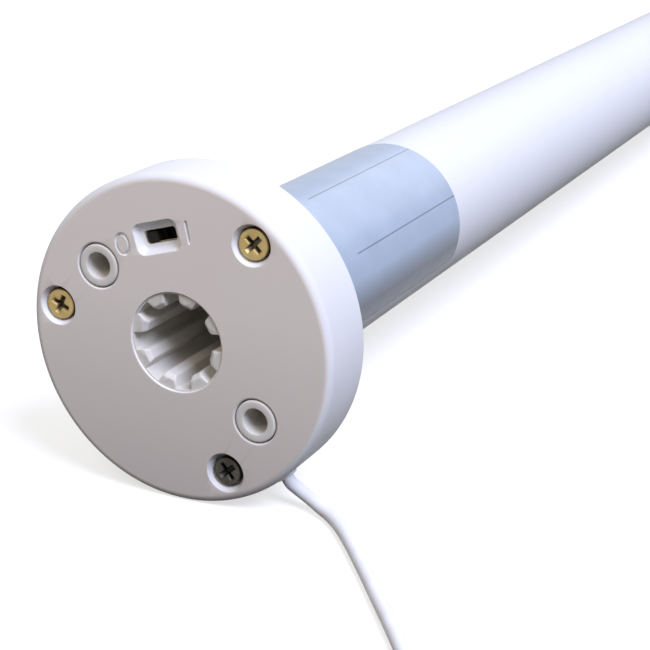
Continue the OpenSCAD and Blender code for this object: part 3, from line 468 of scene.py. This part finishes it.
def round_box(length_u, length_v, corner, segments):
    """A rectangle with round corners, as a function of how far it is let out."""
    def outline(offset):
        r = max(corner + offset, 0.02)
        points = []
        for quarter, (su, sv) in enumerate(((1, 1), (-1, 1), (-1, -1), (1, -1))):
            cu, cv = su * (length_u / 2 + offset - r), sv * (length_v / 2 + offset - r)
            for i in range(segments + 1):
                du, dv = polar(r, 90 * (quarter + i / segments))
                points.append((cu + du, cv + dv))
        return points
    return outline


def disc(r, centre=(0, 0), segments=96):
    """A circle about a centre, as a function of how far it is let out."""
    def outline(offset):
        return [(centre[0] + u, centre[1] + v) for u, v in circle(r + offset, segments)]
    return outline


def moved(outline, centre, degrees):
    """The outline turned by an angle and set on a centre."""
    c, s = cos(radians(degrees)), sin(radians(degrees))

    def placed(offset):
        return [(centre[0] + c * u - s * v, centre[1] + s * u + c * v) for u, v in outline(offset)]
    return placed


def mouth_edge(radius, w=0.0, steps=5):
    """Steps (offset, w) from a flat face over a round edge into a hole."""
    turns = [pi / 2 * i / steps for i in range(steps + 1)]
    return [(radius * (1 - sin(t)), w + radius * (1 - cos(t))) for t in turns]


def front_edge(radius, w=0.0, steps=5):
    """Steps from a solid's flat front at w over a round edge down its side."""
    return [(-offset, at) for offset, at in mouth_edge(radius, w, steps)]


def rear_edge(radius, w):
    """Steps from a solid's side over a round edge to its flat rear at w."""
    return [(-offset, w - at) for offset, at in reversed(mouth_edge(radius))]


def groove(depth, half_width):
    """Steps (offset, w) across a half-round groove, from its outer edge to its inner one."""
    turns = [pi * i / 10 for i in range(11)]
    return [(half_width * cos(t), depth * sin(t)) for t in turns]


# Charging lead. Its route repeats the part's points, in millimetres, and the coil is computed.

LEAD_EXIT = (EXIT_X, *polar(EXIT_R, LEAD_ANGLE))
RUN_STEPS = (
    (5.1, -13.9, -19.0),
    (5.0, -14.8, -19.5),
    (4.8, -16.1, -20.1),
    (4.4, -17.5, -20.6),
    (3.8, -18.9, -21.0),
    (3.0, -20.4, -21.25),
    (1.8, -21.9, LIE_Z),
    (0.3, -23.4, LIE_Z),
    (-2.7, -26.0, LIE_Z),
    (-6.6, -29.1, LIE_Z),
    (-10.6, -32.2, LIE_Z),
    (-14.3, -35.0, LIE_Z),
    (-18.9, -38.5, LIE_Z),
    (-23.9, -42.2, LIE_Z),
    (-29.5, -46.2, LIE_Z))
COIL_START = Vector((-38, -52.1, LIE_Z))
COIL_HEADING = 214.8
COIL_R, COIL_PITCH, COIL_LAYER, COIL_STEPS = 11.2, 2.7, 2.4, 24
COIL_IN, COIL_CLIMB, COIL_OUT, COIL_TAIL = 1.5, 0.5, 1.25, 9.5
COIL_TURNS = COIL_IN + COIL_CLIMB + COIL_OUT
TAIL_HEADING = COIL_HEADING - 360 * COIL_TURNS
COIL_CENTRE = COIL_START + Vector((*polar(COIL_R, COIL_HEADING - 90), 0))


def heading(degrees):
    return Vector((*polar(1, degrees), 0))


def coil_point(turn):
    """The coil winds in on the surface, climbs a layer and winds out again on top."""
    r = COIL_R - COIL_PITCH * (min(turn, COIL_IN) - max(0, turn - COIL_IN - COIL_CLIMB))
    climb = min(max((turn - COIL_IN) / COIL_CLIMB, 0), 1)
    lift = Vector((0, 0, COIL_LAYER * climb * climb * (3 - 2 * climb)))
    return COIL_CENTRE + lift + r * heading(COIL_HEADING + 90 - 360 * turn)


COIL = [coil_point(i / COIL_STEPS) for i in range(int(COIL_TURNS * COIL_STEPS) + 1)]
TAIL_END = COIL[-1] + COIL_TAIL * heading(TAIL_HEADING)


def make_lead():
    start = COIL_START - 2 * LEAD_R * heading(COIL_HEADING)
    tail = TAIL_END - 2 * LEAD_R * heading(TAIL_HEADING)
    points = [Vector(LEAD_EXIT), *map(Vector, RUN_STEPS), start, *COIL, tail, TAIL_END]
    data = bpy.data.curves.new("charging_lead", "CURVE")
    data.dimensions = "3D"
    data.bevel_depth = LEAD_R * MM
    data.bevel_resolution = 5
    data.resolution_u = 6
    data.use_fill_caps = True
    spline = data.splines.new("BEZIER")
    spline.bezier_points.add(len(points) - 1)
    for knot, point in zip(spline.bezier_points, points):
        knot.co = point * MM
        knot.handle_left_type = knot.handle_right_type = "AUTO"
    made = bpy.data.objects.new("charging_lead", data)
    bpy.context.collection.objects.link(made)
    return finish_piece(made, "lead_white", "housing", ("lead_run", "lead_coil"))


BOOT_R, BOOT_TIP_R, BOOT_L, BOOT_RIBS, RIB_CUT = 2.1, 1.35, 8.0, 4, 0.28
PLUG_L, PLUG_W, PLUG_H, PLUG_ROUND = 20.0, 11.0, 6.6, 1.1
MOUTH_W, MOUTH_H, MOUTH_L, MOUTH_WALL = 8.9, 3.2, 6.5, 0.35
TONGUE_T, TONGUE_SET = 0.7, 1.05
PLUG_END = BOOT_L + PLUG_L


def tail_place():
    """The connector's frame: w along the lead's end, v up, the body lying on the surface."""
    forward = heading(TAIL_HEADING)
    up = Vector((0, 0, 1))
    turn = Matrix((up.cross(forward) * -1, up, forward)).transposed()
    at = Vector((TAIL_END.x, TAIL_END.y, FLOOR_Z + PLUG_H / 2))
    return ALONG_XYZ @ Matrix.Translation(at) @ turn.to_4x4()


def plug_mouth():
    return round_box(MOUTH_W, MOUTH_H, MOUTH_H / 2 - 0.02, 10)


def boot_profile():
    """Half of the boot's section (r, w), with ribs cut round it, and its foot inside the body."""
    bore_r, foot = LEAD_R - 0.4, BOOT_L + 0.6
    profile = [(BOOT_TIP_R - 0.15, 0), (BOOT_TIP_R, 0.15)]
    for k in range(BOOT_RIBS):
        w = 1.0 + k * (BOOT_L - 1.2) / BOOT_RIBS
        r = BOOT_TIP_R + (BOOT_R - BOOT_TIP_R) * w / BOOT_L
        profile += [(r, w), (r - RIB_CUT, w + 0.25), (r - RIB_CUT, w + 0.65), (r + 0.05, w + 0.9)]
    return profile + [(BOOT_R, BOOT_L), (BOOT_R, foot), (bore_r, foot), (bore_r, 0)]


def make_plug_body():
    skin = Shell()
    body = round_box(PLUG_W, PLUG_H, PLUG_H / 2 - 0.02, 10)
    rear_row, front_row = skin.loft(body, front_edge(PLUG_ROUND, BOOT_L)
                                    + rear_edge(PLUG_ROUND * 0.6, PLUG_END))
    lip = [(offset, PLUG_END - w) for offset, w in mouth_edge(0.2)]
    lip_row, deep_row = skin.loft(plug_mouth(), lip + [(0, PLUG_END - MOUTH_L)])
    skin.fill(rear_row)
    skin.fill(front_row, lip_row)
    skin.fill(deep_row)
    skin.lathe(boot_profile(), 40)
    return skin.build("lead_plug", "lead_white", "housing", ("lead_connector",), tail_place())


def make_plug_shell():
    """The metal mouth with its floor, and the tongue that stands on it."""
    skin = Shell()
    end, floor = PLUG_END, PLUG_END - MOUTH_L
    skin.plug(plug_mouth(), [(-0.03, floor + 0.1), (-0.03, end - 0.1), (-0.1, end - 0.02),
                             (0.05 - MOUTH_WALL, end - 0.02), (-MOUTH_WALL, end - 0.1),
                             (-MOUTH_WALL, floor + 0.7)])
    tongue = round_box(MOUTH_W - MOUTH_H, TONGUE_T, 0.15, 3)
    tip = end - TONGUE_SET
    skin.plug(tongue, [(0, floor + 0.6), (0, tip - 0.25), (-0.12, tip)])
    return skin.build("plug_shell", "nickel", "housing", ("connector_shell",), tail_place())


def make_grommet():
    """A soft bush in the rim, whose lip is round where the lead leaves it."""
    skin = Shell()
    hole, outer, collar = LEAD_R + 0.03, 1.6, 2.3
    lip_r, lip_l, lip_steps = 0.32, 0.3, 6
    foot, top = RIM_IN_R - 1, RIM_IN_R - 0.3
    profile = [(hole, foot), (hole, EXIT_R - lip_l)]
    for i in range(lip_steps + 1):
        a = pi * i / lip_steps
        profile.append((outer - lip_r - lip_r * cos(a), EXIT_R - lip_l + lip_l * sin(a)))
    profile += [(outer, top), (collar, top), (collar, foot)]
    skin.lathe(profile, 48)
    out = polar(1, LEAD_ANGLE)
    ahead = Vector((1, 0, 0))
    radial = Vector((0, *out))
    turn = Matrix((ahead, radial.cross(ahead), radial)).transposed()
    place = ALONG_XYZ @ Matrix.Translation((EXIT_X, 0, 0)) @ turn.to_4x4()
    return skin.build("lead_bush", "white_plastic", "housing", ("lead_grommet",), place)


lead = make_lead()
plug_body = make_plug_body()
plug_shell = make_plug_shell()
make_grommet()


# Head

SOCKET_OPEN_R, SOCKET_SET, SOCKET_TUBE_R, SOCKET_ROUND = 6.75, 0.3, 8.2, 0.15
POST_R, POST_END_X, POST_ROUND = 2.875, 8.6, 0.28
POST_GAP, POST_HOLE_ROUND = 0.175, 0.26
PIN_HOLE_R, PIN_HOLE_L, PIN_HOLE_ROUND = 1.75, 7.5, 0.15
SHANK_HOLE_R, POCKET_ROUND = 1.3, 0.12
BACK_ROUND, BACK_CHAMFER = 0.35, 0.15
BOSS_WALL, BOSS_CHAMFER, SCREW_BOSS_R = 1.2, 0.1, 2.3
RECESS_ROUND, SLOT_LIP = 0.12, 0.06
SIGN_DEPTH = 0.4
O_CENTRE, O_HALF_W, O_HALF_H, O_STROKE = (7.49, 12.32), 0.95, 1.33, 0.5
I_TOP, I_FOOT, I_STROKE = (-1.9, 16.53), (-2.53, 13.48), 0.5


def oval(half_u, half_v):
    """An oval, as a function of how far it is let out."""
    def outline(offset):
        return [((half_u + offset) * u, (half_v + offset) * v) for u, v in circle(1, 40)]
    return outline


# The screw pockets' walls: how far each row is let out, and its depth
POCKET_WALL = ((-0.4, 1.0), (-0.46, 1.2), (-0.46, POCKET_L))
# The dished floor round the slot: how far each row lies from the mouth to the slot, and its depth
DISH = ((0.03, 0.2), (0.24, 0.55), (0.45, 0.88), (0.53, 0.98), (0.61, 1.05), (0.7, 1.09),
        (0.95, RECESS_T))


def switch_hollow(skin):
    """A hollow with a broken edge and a dished floor, and the lever's slot in it. Gives its end rows."""
    place = polar(SWITCH_R, SWITCH_ANGLE), SWITCH_ANGLE + SWITCH_TURN
    mouth = moved(round_box(RECESS_W, RECESS_L, RECESS_CORNER, 8), *place)
    slot = moved(round_box(SLOT_W, SLOT_L, SLOT_CORNER, 8), *place)

    def between(share):
        return [tuple(Vector(a).lerp(b, share)) for a, b in zip(mouth(0), slot(0))]

    rows = [skin.row(mouth(offset), w) for offset, w in mouth_edge(RECESS_ROUND, steps=3)]
    rows += [skin.row(between(share), w) for share, w in DISH]
    rows += [skin.row(slot(0), RECESS_T + SLOT_LIP), skin.row(slot(-SLOT_DRAFT), PLATE_X)]
    skin.chain(rows)
    return rows[0], rows[-1]


def signs(skin):
    """The plain signs O and I, sunk in the face. Gives the rows where they meet it."""
    ring = moved(oval(O_HALF_W, O_HALF_H), O_CENTRE, SWITCH_ANGLE - 90)
    outer_row, island_row = skin.loft(ring, groove(SIGN_DEPTH, O_STROKE / 2))
    top, foot = Vector(I_TOP), Vector(I_FOOT)
    lean = (top - foot).angle_signed(Vector((0, 1)))
    bar = moved(round_box(I_STROKE / 2, (top - foot).length - I_STROKE / 2, I_STROKE / 4, 4),
                (top + foot) / 2, lean * 180 / pi)
    bar_row, bar_floor = skin.loft(bar, [(I_STROKE / 4, 0), (I_STROKE / 8, 0.6 * SIGN_DEPTH),
                                         (-I_STROKE / 12, SIGN_DEPTH)])
    skin.fill(bar_floor)
    return outer_row, island_row, bar_row


def make_cover():
    """Rim and face plate in one skin: the outside, the inside, and the holes that join them."""
    skin = Shell()
    outside = disc(HEAD_R, segments=192)
    face_row, front = skin.loft(outside, front_edge(HEAD_ROUND, steps=8))
    inner = RIM_IN_R - HEAD_R
    back = rear_edge(BACK_ROUND, HEAD_L) + [(inner + BACK_CHAMFER, HEAD_L),
                                            (inner, HEAD_L - BACK_CHAMFER), (inner, PLATE_X)]
    inner_row = skin.loft(outside, back, front)[1]
    mouths, rears = [], []

    def hole(outline, steps):
        top, end = skin.loft(outline, steps)
        mouths.append(top)
        return end

    def boss(outline, end):
        """A raised ring on the plate's back, round the row where a hole ends."""
        foot, top = skin.loft(outline, [(0, PLATE_X), (0, BOSS_X - BOSS_CHAMFER),
                                        (-BOSS_CHAMFER, BOSS_X)])
        skin.fill(top, end)
        rears.append(foot)

    tube_r = SOCKET_TUBE_R + BASE_GAP
    let_out = tube_r - SOCKET_OPEN_R
    socket = mouth_edge(SOCKET_ROUND, steps=3) + [(0, SOCKET_SET), (let_out, SOCKET_SET),
                                                  (let_out, BOSS_X)]
    boss(disc(tube_r + BOSS_WALL), hole(disc(SOCKET_OPEN_R), socket))
    for a in PIN_ANGLES:
        post = disc(POST_R + POST_GAP, polar(PIN_R, a), 64)
        rears.append(hole(post, mouth_edge(POST_HOLE_ROUND) + [(0, PLATE_X)]))
    let_in = SHANK_HOLE_R - POCKET_R
    pocket = mouth_edge(POCKET_ROUND, steps=3) + [*POCKET_WALL, (let_in, POCKET_L), (let_in, BOSS_X)]
    for a in (*BRASS_ANGLES, DARK_ANGLE):
        centre = polar(SCREW_R, a)
        boss(disc(SCREW_BOSS_R, centre, 64), hole(disc(POCKET_R, centre, 64), pocket))
    mouth_row, slot_row = switch_hollow(skin)
    mouths.append(mouth_row)
    rears.append(slot_row)
    skin.fill(face_row, *signs(skin), *mouths)
    skin.fill(inner_row, *rears)
    return skin.build("cover", "head_plastic", "housing", ("head_cover",))


FLANGE_X, FLANGE_IN_R = 6.9, 8.0
SPIGOT_X, SPIGOT_END_X, SPIGOT_WALL = 9.0, 24.0, 1.0
TEETH = 8
TIP_ROUND = 0.35
# The bore's rows: depth, the tips' radius, half a gap and the roots' radius. They lead in at the
# teeth's front ends, and then the bore is straight down to its floor.
BORE = ((SOCKET_SET, 5.42, 1.29, 6.6), (0.34, 5.36, 1.20, 6.52), (0.42, 5.28, 1.15, 6.5),
        (0.85, 4.86, 1.15, 6.5), (0.95, 4.80, 1.15, 6.5), (21.3, 4.80, 1.15, 6.5))


def toothed(tip, half_gap, root):
    """The socket's outline: gaps of even width run from the root circle in to the tip circle."""
    arc_steps = 5
    reach = asin(half_gap / root)
    centre_v = half_gap + TIP_ROUND
    centre_u = ((tip + TIP_ROUND) ** 2 - centre_v ** 2) ** 0.5
    start, end = -pi / 2, -pi + atan2(centre_v, centre_u)
    corner = []
    for i in range(arc_steps):
        a = start + (end - start) * i / (arc_steps - 1)
        corner.append((centre_u + TIP_ROUND * cos(a), centre_v + TIP_ROUND * sin(a)))
    tip_from, tip_to = atan2(corner[-1][1], corner[-1][0]), tau / TEETH
    gap = [(root * cos(t), root * sin(t))
           for t in [reach * (2 * i / arc_steps - 1) for i in range(arc_steps + 1)]]
    crest = [(tip * cos(t), tip * sin(t))
             for t in [tip_from + (tip_to - 2 * tip_from) * i / 3 for i in (1, 2)]]
    cell = [(u, -v) for u, v in reversed(corner)] + gap + corner + crest
    points = []
    for k in range(TEETH):
        a = radians(PIN_ANGLES[0]) + tau * k / TEETH
        points += [(cos(a) * u - sin(a) * v, sin(a) * u + cos(a) * v) for u, v in cell]
    return points


def make_base():
    """The toothed socket's tube, the flange behind the cover, the spigot and the two posts."""
    skin = Shell()
    rows = [skin.row(toothed(tip, half_gap, root), w) for w, tip, half_gap, root in BORE]
    skin.chain(rows)
    skin.fill(rows[-1])
    front, rear = skin.loft(disc(SOCKET_TUBE_R), [(0, SOCKET_SET), (0, SPIGOT_END_X)])
    skin.fill(front, rows[0])
    skin.fill(rear)
    flange_r, spigot_r = RIM_IN_R - BASE_GAP, TUBE_BORE_R - BASE_GAP
    edge, middle = 0.25, 0.07
    skin.lathe([(FLANGE_IN_R, FLANGE_X), (flange_r, FLANGE_X), (flange_r, HEAD_L - edge),
                (flange_r - middle, HEAD_L - middle), (flange_r - edge, HEAD_L),
                (FLANGE_IN_R, HEAD_L)], 160)
    skin.lathe([(spigot_r - SPIGOT_WALL, SPIGOT_X), (spigot_r, SPIGOT_X), (spigot_r, SPIGOT_END_X),
                (spigot_r - SPIGOT_WALL, SPIGOT_END_X)], 96)
    for a in PIN_ANGLES:
        centre = polar(PIN_R, a)
        outer_row, rear_row = skin.loft(disc(POST_R, centre, 64),
                                        front_edge(POST_ROUND) + [(0, POST_END_X)])
        hole_row, floor_row = skin.loft(disc(PIN_HOLE_R, centre, 64),
                                        mouth_edge(PIN_HOLE_ROUND, steps=3) + [(0, PIN_HOLE_L)])
        skin.fill(outer_row, hole_row)
        skin.fill(floor_row)
        skin.fill(rear_row)
    return skin.build("base", "base_plastic", "housing", ("head_base",))


# The cross recess at its mouth and at its floor: an arm's reach, its half width and its corners
CROSS_MOUTH, CROSS_FLOOR, CROSS_DEPTH = (1.36, 0.37, 0.1), (0.8, 0.22, 0.05), 1.05
HEAD_EDGE, CROSS_EDGE = 0.22, 0.07
SHANK_R, SHANK_L, SHANK_CHAMFER = 1.2, 6.4, 0.4


def cross(arm, half_width, corner):
    """A cross seen from above, as a function of how far it is let out."""
    def outline(offset):
        a, h, c = arm + offset, half_width + offset, corner
        wing = [(h + c, h), (a - c, h), (a - c * 0.3, h - c * 0.3), (a, h - c), (a, c - h),
                (a - c * 0.3, c * 0.3 - h), (a - c, -h), (h + c, -h)]
        points = []
        for quarter in range(4):
            turn = Matrix.Rotation(radians(-90 * quarter), 2)
            points += [tuple(turn @ Vector(p)) for p in wing]
        return points
    return outline


def make_screw(name, paint, degrees, turn, replaces, head_r=SCREW_HEAD_R):
    """A pan head with a cross recess that narrows towards its floor."""
    skin = Shell()
    top = -SCREW_HEAD_L
    top_row, foot_row = skin.loft(disc(head_r, segments=64),
                                  front_edge(HEAD_EDGE, top) + [(0, -0.15), (-0.1, 0)])
    wide, narrow = cross(*CROSS_MOUTH), cross(*CROSS_FLOOR)
    rows = [skin.row(wide(CROSS_EDGE), top), skin.row(wide(0), top + CROSS_EDGE),
            skin.row(narrow(0), top + CROSS_DEPTH)]
    skin.chain(rows)
    skin.fill(rows[-1])
    skin.fill(top_row, rows[0])
    skin.fill(foot_row)
    skin.plug(disc(SHANK_R, segments=32),
              [(0, -0.1), (0, SHANK_L - SHANK_CHAMFER), (-SHANK_CHAMFER, SHANK_L)])
    place = spot(SCREW_R, degrees, POCKET_L) @ Matrix.Rotation(radians(turn), 4, "Z")
    return skin.build(name, paint, "housing", replaces, place)


LEVER_GAP, LEVER_SIDE_GAP, LEVER_ROUND, LEVER_CORNER = 0.1, 0.07, 0.2, 0.22
LEVER_L, LEVER_W = 1.6, SLOT_W - 2 * SLOT_DRAFT - 2 * LEVER_SIDE_GAP
LEVER_END_X, LEVER_FOOT_X, LEVER_FOOT_END_X = 3.1, 2.72, 3.72
LEVER_FOOT_L, LEVER_FOOT_W, LEVER_CHAMFER = LEVER_L + 0.5, LEVER_W + 0.7, 0.1


def make_lever():
    """The lever's tip, on the foot that slides in the switch. It stands at the slot's O end."""
    skin = Shell()
    shift = -SLOT_L / 2 + SLOT_DRAFT + LEVER_GAP + LEVER_L / 2
    tip = moved(round_box(LEVER_W, LEVER_L, LEVER_CORNER, 4), (0, shift), 0)
    skin.plug(tip, front_edge(LEVER_ROUND, RECESS_T + LEVER_GAP) + [(0, LEVER_END_X)])
    foot = moved(round_box(LEVER_FOOT_W, LEVER_FOOT_L, LEVER_ROUND, 4), (0, shift), 0)
    skin.plug(foot, [(-LEVER_CHAMFER, LEVER_FOOT_X), (0, LEVER_FOOT_X + LEVER_CHAMFER),
                     (0, LEVER_FOOT_END_X - LEVER_CHAMFER), (-LEVER_CHAMFER, LEVER_FOOT_END_X)])
    return skin.build("switch_knob", "black_plastic", "switch_lever", ("switch_lever",),
                      spot(SWITCH_R, SWITCH_ANGLE, turn=SWITCH_TURN))


# How far each screw's cross is turned
BRASS_TURNS, DARK_TURN = (18, 7), 72

make_cover()
make_base()
for k, (a, turn) in enumerate(zip(BRASS_ANGLES, BRASS_TURNS), 1):
    make_screw(f"brass_screw_{k}", "brass_screw", a, turn, ("brass_cover_screws",))
make_screw("dark_screw", "dark_screw", DARK_ANGLE, DARK_TURN, ("dark_cover_screw",), DARK_HEAD_R)
make_lever()


# Tube and label

def make_tube():
    skin = Shell()
    edge = 0.15
    skin.lathe([(TUBE_BORE_R, HEAD_L), (TUBE_R - edge, HEAD_L), (TUBE_R, HEAD_L + edge),
                (TUBE_R, TUBE_END_X - edge), (TUBE_R - edge, TUBE_END_X), (TUBE_BORE_R, TUBE_END_X)], 192)
    return skin.build("tube", "tube_white", "housing", ("motor_tube",))


LABEL_T, LABEL_GAP, LABEL_CORNER = 0.1, 0.02, 1.5


def make_label():
    """A thin film round the tube, with round corners."""
    skin = Shell()
    mesh = skin.mesh
    low = TUBE_R + LABEL_GAP
    high = low + LABEL_T
    steps, corner_steps = 96, 8
    stations = [LABEL_CORNER * (1 - cos(pi / 2 * i / corner_steps)) for i in range(corner_steps + 1)]
    length = LABEL_END_X - LABEL_X
    along = stations + [length - s for s in reversed(stations)]
    inner, outer = [], []
    for s in along:
        into = max(LABEL_CORNER - min(s, length - s), 0)
        pull = LABEL_CORNER - (LABEL_CORNER ** 2 - into ** 2) ** 0.5
        ease = pull / high * 180 / pi
        a0, a1 = LABEL_ANGLES[0] + ease, LABEL_ANGLES[1] - ease
        angles = [a0 + (a1 - a0) * i / steps for i in range(steps + 1)]
        for rows, r in ((inner, low), (outer, high)):
            rows.append([mesh.verts.new((LABEL_X + s, *polar(r, a))) for a in angles])
    for a, b, c, d in zip(inner, inner[1:], outer, outer[1:]):
        for i in range(steps):
            mesh.faces.new((a[i], b[i], b[i + 1], a[i + 1]))
            mesh.faces.new((c[i], c[i + 1], d[i + 1], d[i]))
        for i in (0, steps):
            mesh.faces.new((a[i], b[i], d[i], c[i]))
    for a, c in ((inner[0], outer[0]), (inner[-1], outer[-1])):
        for i in range(steps):
            mesh.faces.new((a[i], a[i + 1], c[i + 1], c[i]))
    return skin.build("label", "label_film", "housing", ("label_film",), ALONG_XYZ)


make_tube()
make_label()


# Carried-over CAD nodes: each takes its slot's paint, and those that show get softened edges, by
# these widths in millimetres

SOFT_EDGES = {"tube_end_cap": 0.3, "drive_wheel": 0.25, "output_shaft": 0.15, "wheel_washer": 0.12,
              "wheel_screw": 0.12, "tube_screws": 0.06, "output_bush": 0.1, "switch_body": 0.05}
# Faces that meet at under the first angle are one flat, and edges over the second are rounded
FLAT_ANGLE, EDGE_ANGLE = 0.5, 32


def soften(piece, width):
    """Joins the mesh's triangles into flats and rounds the edges between them."""
    piece.modifiers.new("weld", "WELD").merge_threshold = 0.001 * MM
    flats = piece.modifiers.new("flats", "DECIMATE")
    flats.decimate_type = "DISSOLVE"
    flats.angle_limit = radians(FLAT_ANGLE)
    bevel = piece.modifiers.new("bevel", "BEVEL")
    bevel.width = width * MM
    bevel.segments = 2
    bevel.limit_method = "ANGLE"
    bevel.angle_limit = radians(EDGE_ANGLE)
    piece.modifiers.new("normals", "WEIGHTED_NORMAL").keep_sharp = True


def dress_nodes():
    slots = {part["node"]: part["material_slot"] for part in frame["record"]["subparts"]}
    for name, piece in frame["nodes"].items():
        piece.data.materials.clear()
        piece.data.materials.append(PAINTS[slots[name]].material)
        if name in SOFT_EDGES:
            soften(piece, SOFT_EDGES[name])


dress_nodes()


# Floor, world and lamps

FLOOR_REACH = 4.0
FLOOR_PALE, FLOOR_DULL = (0.5, 0.5, 0.5), (0.07, 0.059, 0.047)
# The glow is this strong up to the first distance, in metres, and that strong from the second on
GLOW_AT, GLOW = (0.6, 1.8), (0.66, 0.86)
AMBIENT = (0.30, 0.305, 0.32)


def seen_rays(nodes):
    """1 for the rays that show the background: from the camera, off gloss and through glass."""
    path = nodes.node("LightPath").outputs
    return nodes.math("MAXIMUM", path["Is Camera Ray"],
                      nodes.math("MAXIMUM", path["Is Glossy Ray"], path["Is Transmission Ray"]))


def floor_paint():
    """Near white with the part's shadow kept where it is seen, and dull to the light that it throws."""
    p = Paint("floor")
    p.tree.nodes.remove(p.shader)
    pale = p.node("BsdfDiffuse", {"Color": FLOOR_PALE}).outputs[0]
    strength = p.span(p.distance((0, 0, 0)), *GLOW_AT, *GLOW)
    glow = p.node("Emission", {"Color": (1, 1, 1), "Strength": strength}).outputs[0]
    dull = p.node("BsdfDiffuse", {"Color": FLOOR_DULL}).outputs[0]
    both = p.node("AddShader", {0: pale, 1: glow}).outputs[0]
    shown = p.node("MixShader", {0: seen_rays(p), 1: dull, 2: both}).outputs[0]
    p.feed(p.tree.nodes["Material Output"].inputs["Surface"], shown)
    return p


def make_floor():
    mesh = bmesh.new()
    bmesh.ops.create_grid(mesh, x_segments=1, y_segments=1, size=FLOOR_REACH)
    data = bpy.data.meshes.new("floor")
    mesh.to_mesh(data)
    mesh.free()
    floor = bpy.data.objects.new("floor", data)
    floor.location.z = FLOOR_Z * MM
    bpy.context.collection.objects.link(floor)
    data.materials.append(floor_paint().material)


def make_world():
    """Soft grey light from all round, and white where the background is seen."""
    world = bpy.data.worlds.new("world")
    world.use_nodes = True
    bpy.context.scene.world = world
    sky = Nodes(world.node_tree)
    background = sky.tree.nodes["Background"]
    sky.feed(background.inputs["Color"], sky.mix(seen_rays(sky), AMBIENT, (1, 1, 1)))
    sky.feed(background.inputs["Strength"], 1.0)


def softbox(name, towards, distance, size, level, colour):
    """A round lamp in that direction from the head, metres away, which lights white to level."""
    data = bpy.data.lights.new(name, "AREA")
    data.shape = "DISK"
    data.size = size
    data.energy = pi ** 2 * level * distance ** 2
    data.color = colour
    lamp = bpy.data.objects.new(name, data)
    aim = Vector(towards).normalized()
    lamp.location = aim * distance
    lamp.rotation_euler = aim.to_track_quat("Z", "Y").to_euler()
    bpy.context.collection.objects.link(lamp)


make_floor()
make_world()
# A cool softbox high on the camera's side, a small warm one close to the head, and a wide one behind
softbox("key", (-0.33, -0.636, 0.772), 1.6, 0.8, 1.17, (0.725, 0.77, 1.0))
softbox("fill", (-0.66, 0.1, 0.72), 0.22, 0.09, 0.21, (1.0, 0.86, 0.69))
softbox("back", (0.88, -0.08, 0.45), 1.8, 1.3, 0.21, (0.97, 0.97, 1.0))

bpy.context.scene.view_settings.view_transform = "Standard"
